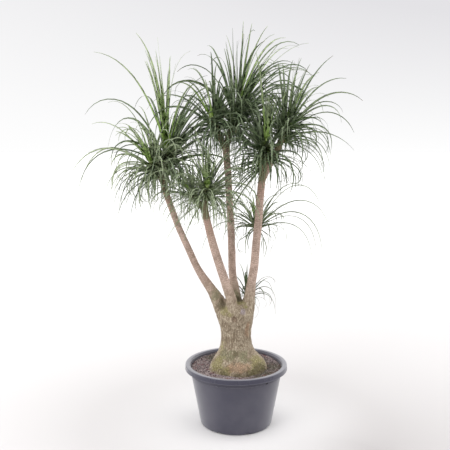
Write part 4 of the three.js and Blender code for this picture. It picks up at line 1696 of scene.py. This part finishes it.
@dataclass
class Tuft:
    """The leaves of one stage in one head, and the stout tip that they stand on."""

    name: str
    head: Head
    stage: Stage
    blade: Blade
    tint: float = 0.5  # of young leaves
    reach_power: float = 1.8
    heart_height: float = 30
    heart_radius: float = 11
    mature_stand: float = 1.15  # radius that the roots stand on against the wood's
    core_sides: int = 14
    core_spacing: float = 10
    thin_from: float = 0.3  # lower leaves are never thinned
    thin_keep: int = 4  # of these leaves one is kept
    thin_side: float = 0.25
    opening: float = 0.8
    opening_side: Pair = (0.3, 0.9)
    opening_age: Pair = (0.35, 0.7)
    room: float = 4
    tries: int = 24
    turn_per_try: float = 0.06
    loss_per_try: float = 0.01
    free_stations: int = 3  # of a leaf's foot, which clasps the wood

    def __post_init__(self) -> None:
        """Finds the stretch of the tip that the leaves stand on, in metres."""
        self.habit = HABITS[self.stage]
        self.tip = SHOOTS[self.name].tip()
        if self.stage is Stage.MATURE:
            self.start, self.height = 0.0, self.head.core * MM
            self.radius = self.tip.radius * self.mature_stand
        else:
            self.start, self.height = self.head.core * MM, self.heart_height * MM
            self.radius = self.heart_radius * MM

    def mesh(self) -> bpy.types.Mesh:
        """Bends a blade for each leaf round the leafy tip of the shoot.

        Returns:
            The mesh of this stage of the head.
        """
        chance = random.Random(f"{SEED} {self.name} {self.stage.value} tints")
        leaves = self._leaves()
        bm = bmesh.new()
        tints, dry = [], []
        for leaf in leaves:
            self.blade.add_to(bm, leaf)
            own = chance.gauss(self.head.tint if self.stage is Stage.MATURE else self.tint, VARIETY.tint)
            tints.append(own + VARIETY.rise_tint * math.sin(leaf.rise))
            dry.append(chance.choice(VARIETY.dry_from) if self.stage is Stage.MATURE else VARIETY.dry_from[0])
        leaf_faces, leaf_verts = len(bm.faces), len(bm.verts)
        Limb(self._core(), self.core_spacing).grow(bm, self.core_sides)
        bm.faces.ensure_lookup_table()
        for face in bm.faces[leaf_faces:]:
            face.material_index = 1
        mesh = finished(bm, f"leaves_{self.stage.value}_{self.name}")
        rest = np.zeros(len(mesh.vertices) - leaf_verts)
        for attribute, values in (("tint", tints), ("dry", dry)):
            each = np.repeat(values, len(self.blade.station))
            write_attribute(mesh, attribute, np.concatenate([each, rest]))
        return mesh

    def _core(self) -> Rows:
        """Works out the tip that the leaves stand on.

        Returns:
            Points x, y, z and radius up its middle, in millimetres.
        """
        core, foot = self.head.core, self.tip.centre / MM
        if self.stage is Stage.MATURE:
            outline = ((0.3, 1.0), (core * 0.3, 1.2), (core * 0.75, 1.1), (core, 0.8))
            wide = self.tip.radius / MM
        else:
            outline = ((core + 0.6, 0.8), (core + 10, 1.0), (core + 30, 0.5), (core + 44, 0.12))
            wide = self.heart_radius
        return tuple((*(foot + self.tip.axis * height), wide * share) for height, share in outline)

    def _leaves(self) -> list[Leaf]:
        """Plans the leaves that reach out of the head and then those in its spiral.

        Returns:
            The leaves that keep clear of the wood.
        """
        chance = random.Random(f"{SEED} {self.name} {self.stage.value}")
        is_mature = self.stage is Stage.MATURE
        rows = self.head.reach if is_mature else self.head.young_reach
        reaching = [self._reaching(chance, Reach(*row)) for row in rows]
        total = self.head.mature if is_mature else self.head.young
        spiral = [self._spiral(chance, index, (index + 0.5) / total) for index in range(total)]
        return [kept for leaf in reaching + spiral if leaf and (kept := self._bent_clear(leaf))]

    def _root(self, share: float, outward: Vector) -> Vector:
        """Returns where a leaf starts, a share of the way up the tip on the side that it looks to."""
        up = self.start + self.height * share
        return self.tip.centre + self.tip.axis * up + outward * self.radius * self.habit.depth

    def _reaching(self, chance: random.Random, reach: Reach) -> Leaf:
        """Plans a leaf that reaches out of the head.

        Args:
            chance: what its twist is drawn with.
            reach: where it goes.

        Returns:
            The leaf.
        """
        heading = math.radians(reach.heading)
        outward = Vector((math.cos(heading), math.sin(heading), 0))
        outward = (outward - self.tip.axis * outward.dot(self.tip.axis)).normalized()
        return Leaf(
            root=self._root(mix(*self.habit.roots, reach.rise / 90), outward),
            heading=heading,
            rise=math.radians(reach.rise),
            length=reach.length * MM,
            droop=reach.droop,
            width=reach.width * MM,
            twist=chance.choice((-1, 1)) * chance.uniform(*VARIETY.reach_twist),
            droop_power=self.reach_power,
        )

    def _spiral(self, chance: random.Random, index: int, age: float) -> Leaf | None:
        """Plans one leaf of the spiral.

        Args:
            chance: what makes it differ from the next.
            index: its number, from the lowest.
            age: its place in the spiral, from 0 for the lowest leaf to 1.

        Returns:
            The leaf, or nothing where it has gone.
        """
        head, habit, axis = self.head, self.habit, self.tip.axis
        across = axis.orthogonal().normalized()
        turn = index * GOLDEN_ANGLE + self._vary(chance, VARIETY.turn)
        outward = across * math.cos(turn) + axis.cross(across) * math.sin(turn)
        polar = abs(mix(*habit.polar, age) + self._vary(chance, VARIETY.polar)) + self._opened(outward, age)
        if self._is_gone(outward, index, age):
            return None
        along = outward * math.sin(polar) + axis * math.cos(polar)
        length = mix(habit.length[0] * head.hang, habit.length[1], age)
        return Leaf(
            root=self._root(mix(*habit.roots, age), outward),
            heading=math.atan2(along.y, along.x),
            rise=math.asin(max(-1.0, min(1.0, along.z))),
            length=head.leaf * MM * (length + self._vary(chance, VARIETY.length)),
            droop=(mix(*habit.droop, age) + self._vary(chance, VARIETY.droop)) * head.weight,
            width=mix(*habit.width, age) * head.width * MM * (1 + self._vary(chance, VARIETY.width)),
            sway=self._vary(chance, 2 * habit.sway),
            roll=self._vary(chance, 2 * habit.roll),
            curl=mix(*habit.curl, age) * chance.uniform(*VARIETY.curl) * head.weight,
            wave=mix(*habit.wave, min(1.0, VARIETY.wave_rate * age)) * chance.uniform(*VARIETY.wave),
            phase=chance.uniform(0, 2 * math.pi),
            twist=chance.gauss(0, VARIETY.twist),
        )

    def _vary(self, chance: random.Random, amount: float) -> float:
        """Draws a difference from the usual, up to half the amount either way."""
        return chance.uniform(-0.5, 0.5) * amount

    def _facing(self, outward: Vector, side: float | None) -> float:
        """Returns how squarely a leaf looks to a side, from -1 to 1, or -1 if there is no side."""
        if side is None:
            return -1.0
        return outward.x * math.cos(math.radians(side)) + outward.y * math.sin(math.radians(side))

    def _is_gone(self, outward: Vector, index: int, age: float) -> bool:
        """Returns whether a mature leaf has gone from the side on which the head is thin."""
        if self.stage is Stage.YOUNG or age <= self.thin_from or index % self.thin_keep == 0:
            return False
        return self._facing(outward, self.head.thin_to) > self.thin_side

    def _opened(self, outward: Vector, age: float) -> float:
        """Returns how much lower a leaf stands where the head lies open, as an angle from the shoot."""
        if self.stage is Stage.YOUNG:
            return 0.0
        facing = smooth_step(*self.opening_side, self._facing(outward, self.head.open_to))
        return self.opening * facing * smooth_step(*self.opening_age, age)

    def _bent_clear(self, leaf: Leaf) -> Leaf | None:
        """Turns a leaf sideways, a little further each time, until it passes the wood.

        Args:
            leaf: the leaf as it would grow.

        Returns:
            The leaf as it is kept, or nothing if there is no way past.
        """
        for attempt in range(self.tries):
            turn = self.turn_per_try * math.ceil(attempt / 2) * (1 if attempt % 2 else -1)
            length = leaf.length * (1 - self.loss_per_try * attempt)
            bent = replace(leaf, heading=leaf.heading + turn, length=length)
            line = [step[0] for step in bent.line(self.blade.stations)]
            is_inside = all(CAD_BOX[0][i] < point[i] < CAD_BOX[1][i] for point in line for i in range(3))
            if is_inside and WOOD.is_clear(line[self.free_stations :], self.room * MM):
                return bent
        return None


class Foliage:
    """All the heads of leaves."""

    def build(self) -> None:
        """Makes every head, with a piece for its young leaves and one for its mature ones."""
        blade = Blade()
        finishes = {stage: [finish.material() for finish in pair] for stage, pair in FINISHES.items()}
        for name, head in HEADS.items():
            for stage, leaves in ((Stage.YOUNG, head.young), (Stage.MATURE, head.mature)):
                if leaves:
                    mesh = Tuft(name, head, stage, blade).mesh()
                    node = f"{stage.value}_{name}"
                    add_piece(f"leaves_{node}", mesh, finishes[stage], HABITS[stage].slot, node)


# ----------------------------------------------------------------------------------------- studio


@dataclass
class Studio:
    """A pale floor, soft light all round and the camera. Ramps read sines of angles, from -1 to 1."""

    camera_place: Place = (-0.055, -3.175, 1.400)
    camera_pitch: float = 7.45  # degrees below the horizon
    lens_mm: float = 53.28
    sensor_mm: float = 36
    floor_radius: float = 60
    floor_sides: int = 96
    sky: str = "#ffffff"
    sky_top: str = "#e4e3e6"
    sky_top_at: Ramp = (-0.02, 0.2, 0, 1)  # the elevations over which the backdrop falls off
    sky_top_right: Pair = (1.0, 0.85)  # how much faster to the right, and how fast in the middle
    light_up: Ramp = (0, 1, 0.9, 1.25)
    light_front: Ramp = (-0.2, -1.0, 1, 0.62)  # less light comes from behind the camera
    light_back: Ramp = (-0.2, 0.3, 1, 1.65)  # and more from the backdrop
    light_back_up: Ramp = (0.2, 0.7, 1, 0)  # as far up as it stands
    light_flank: float = 0.65  # how much more comes from straight left and right
    softboxes: tuple[tuple[str, Place, Place, float, float], ...] = (  # name, place, target, metres, watts
        ("key_softbox", (-2.4, -3.0, 3.2), (0, 0, 0.9), 1.8, 45),
        ("top_softbox", (0.3, -0.3, 4.2), (0, 0, 0.3), 2.0, 40),
    )

    def build(self) -> None:
        """Makes the floor, the light and the camera."""
        self._floor()
        self._sky()
        for name, place, target, size, power in self.softboxes:
            light = bpy.data.lights.new(name, "AREA")
            light.size = size
            light.energy = power
            turn = (Vector(target) - Vector(place)).to_track_quat("-Z", "Y").to_euler()
            self._hang(name, light, place, turn)
        camera = bpy.data.cameras.new("camera")
        camera.lens = self.lens_mm
        camera.sensor_width = self.sensor_mm
        level = math.radians(90 - self.camera_pitch)
        bpy.context.scene.camera = self._hang("camera", camera, self.camera_place, Euler((level, 0, 0)))
        bpy.context.scene.view_settings.view_transform = "Standard"

    def _hang(self, name: str, data: bpy.types.ID, place: Place, turn: Euler) -> bpy.types.Object:
        """Puts a light or the camera in its place.

        Args:
            name: its name.
            data: the light or the camera.
            place: where it is.
            turn: how it is turned.

        Returns:
            The object that holds it.
        """
        holder = bpy.data.objects.new(name, data)
        holder.location = place
        holder.rotation_euler = turn
        bpy.context.scene.collection.objects.link(holder)
        return holder

    def _floor(self) -> None:
        """Lays the floor, face up."""
        bm = bmesh.new()
        bmesh.ops.create_circle(bm, cap_ends=True, segments=self.floor_sides, radius=self.floor_radius)
        disc = finished(bm, "studio_floor", smooth=False)
        floor = add_piece("studio_floor", disc, [StudioPaint().material()])
        if floor.data.polygons[0].normal.z < 0:
            floor.data.flip_normals()
        floor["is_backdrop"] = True

    def _sky(self) -> None:
        """Lights the scene from all round, and shows the camera a backdrop that falls off upwards."""
        world = bpy.data.worlds.new("studio_light")
        world.use_nodes = True
        tree = world.node_tree
        tree.nodes.clear()
        way = add_node(tree, "TexCoord", out="Generated")
        across, depth, height = (add_node(tree, "SeparateXYZ", way, out=axis) for axis in "XYZ")
        top = add_node(tree, "MapRange", height, *self.sky_top_at)
        side = add_node(tree, "Math", across, *self.sky_top_right, operation="MULTIPLY_ADD")
        top = add_node(tree, "Math", top, side, operation="MULTIPLY", use_clamp=True)
        shades = {0: top, 6: linear(self.sky), 7: linear(self.sky_top)}
        seen = add_node(tree, "Background", add_node(tree, named=shades, **COLOUR_MIX))
        strength, front, back, back_up = (
            add_node(tree, "MapRange", reading, *ramp)
            for reading, ramp in (
                (height, self.light_up), (depth, self.light_front),
                (depth, self.light_back), (height, self.light_back_up),
            )
        )
        flank = add_node(tree, "Math", across, across, operation="MULTIPLY")
        flank = add_node(tree, "Math", flank, self.light_flank, 1, operation="MULTIPLY_ADD")
        back = add_node(tree, "Mix", named={0: back_up, 2: 1, 3: back}, data_type="FLOAT")
        for share in (front, flank, back):
            strength = add_node(tree, "Math", strength, share, operation="MULTIPLY")
        light = add_node(tree, "Background", linear(self.sky), strength)
        is_seen = add_node(tree, "LightPath", out="Is Camera Ray")
        add_node(tree, "OutputWorld", add_node(tree, "MixShader", is_seen, light, seen))
        bpy.context.scene.world = world


# ------------------------------------------------------------------------------------------- main


def write_sizes() -> None:
    """Writes the CAD box and the visual model's box, so that the two can be compared."""
    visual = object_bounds()
    for name, box in (("cad", CAD_BOX), ("visual", visual)):
        LOG.info("%s box: %s", name, [[round(x, 3) for x in corner] for corner in box])


def main() -> None:
    """Builds the palm and the studio round it, piece by piece."""
    logging.basicConfig(level=logging.INFO, format="%(message)s")
    noise.seed_set(SEED)  # otherwise its vectors follow the clock
    container = Container()
    trunk = Trunk()
    container.build()
    trunk.build()
    MixBed(trunk, container).build()
    Foliage().build()
    Studio().build()
    write_sizes()


if __name__ == "__main__":
    main()
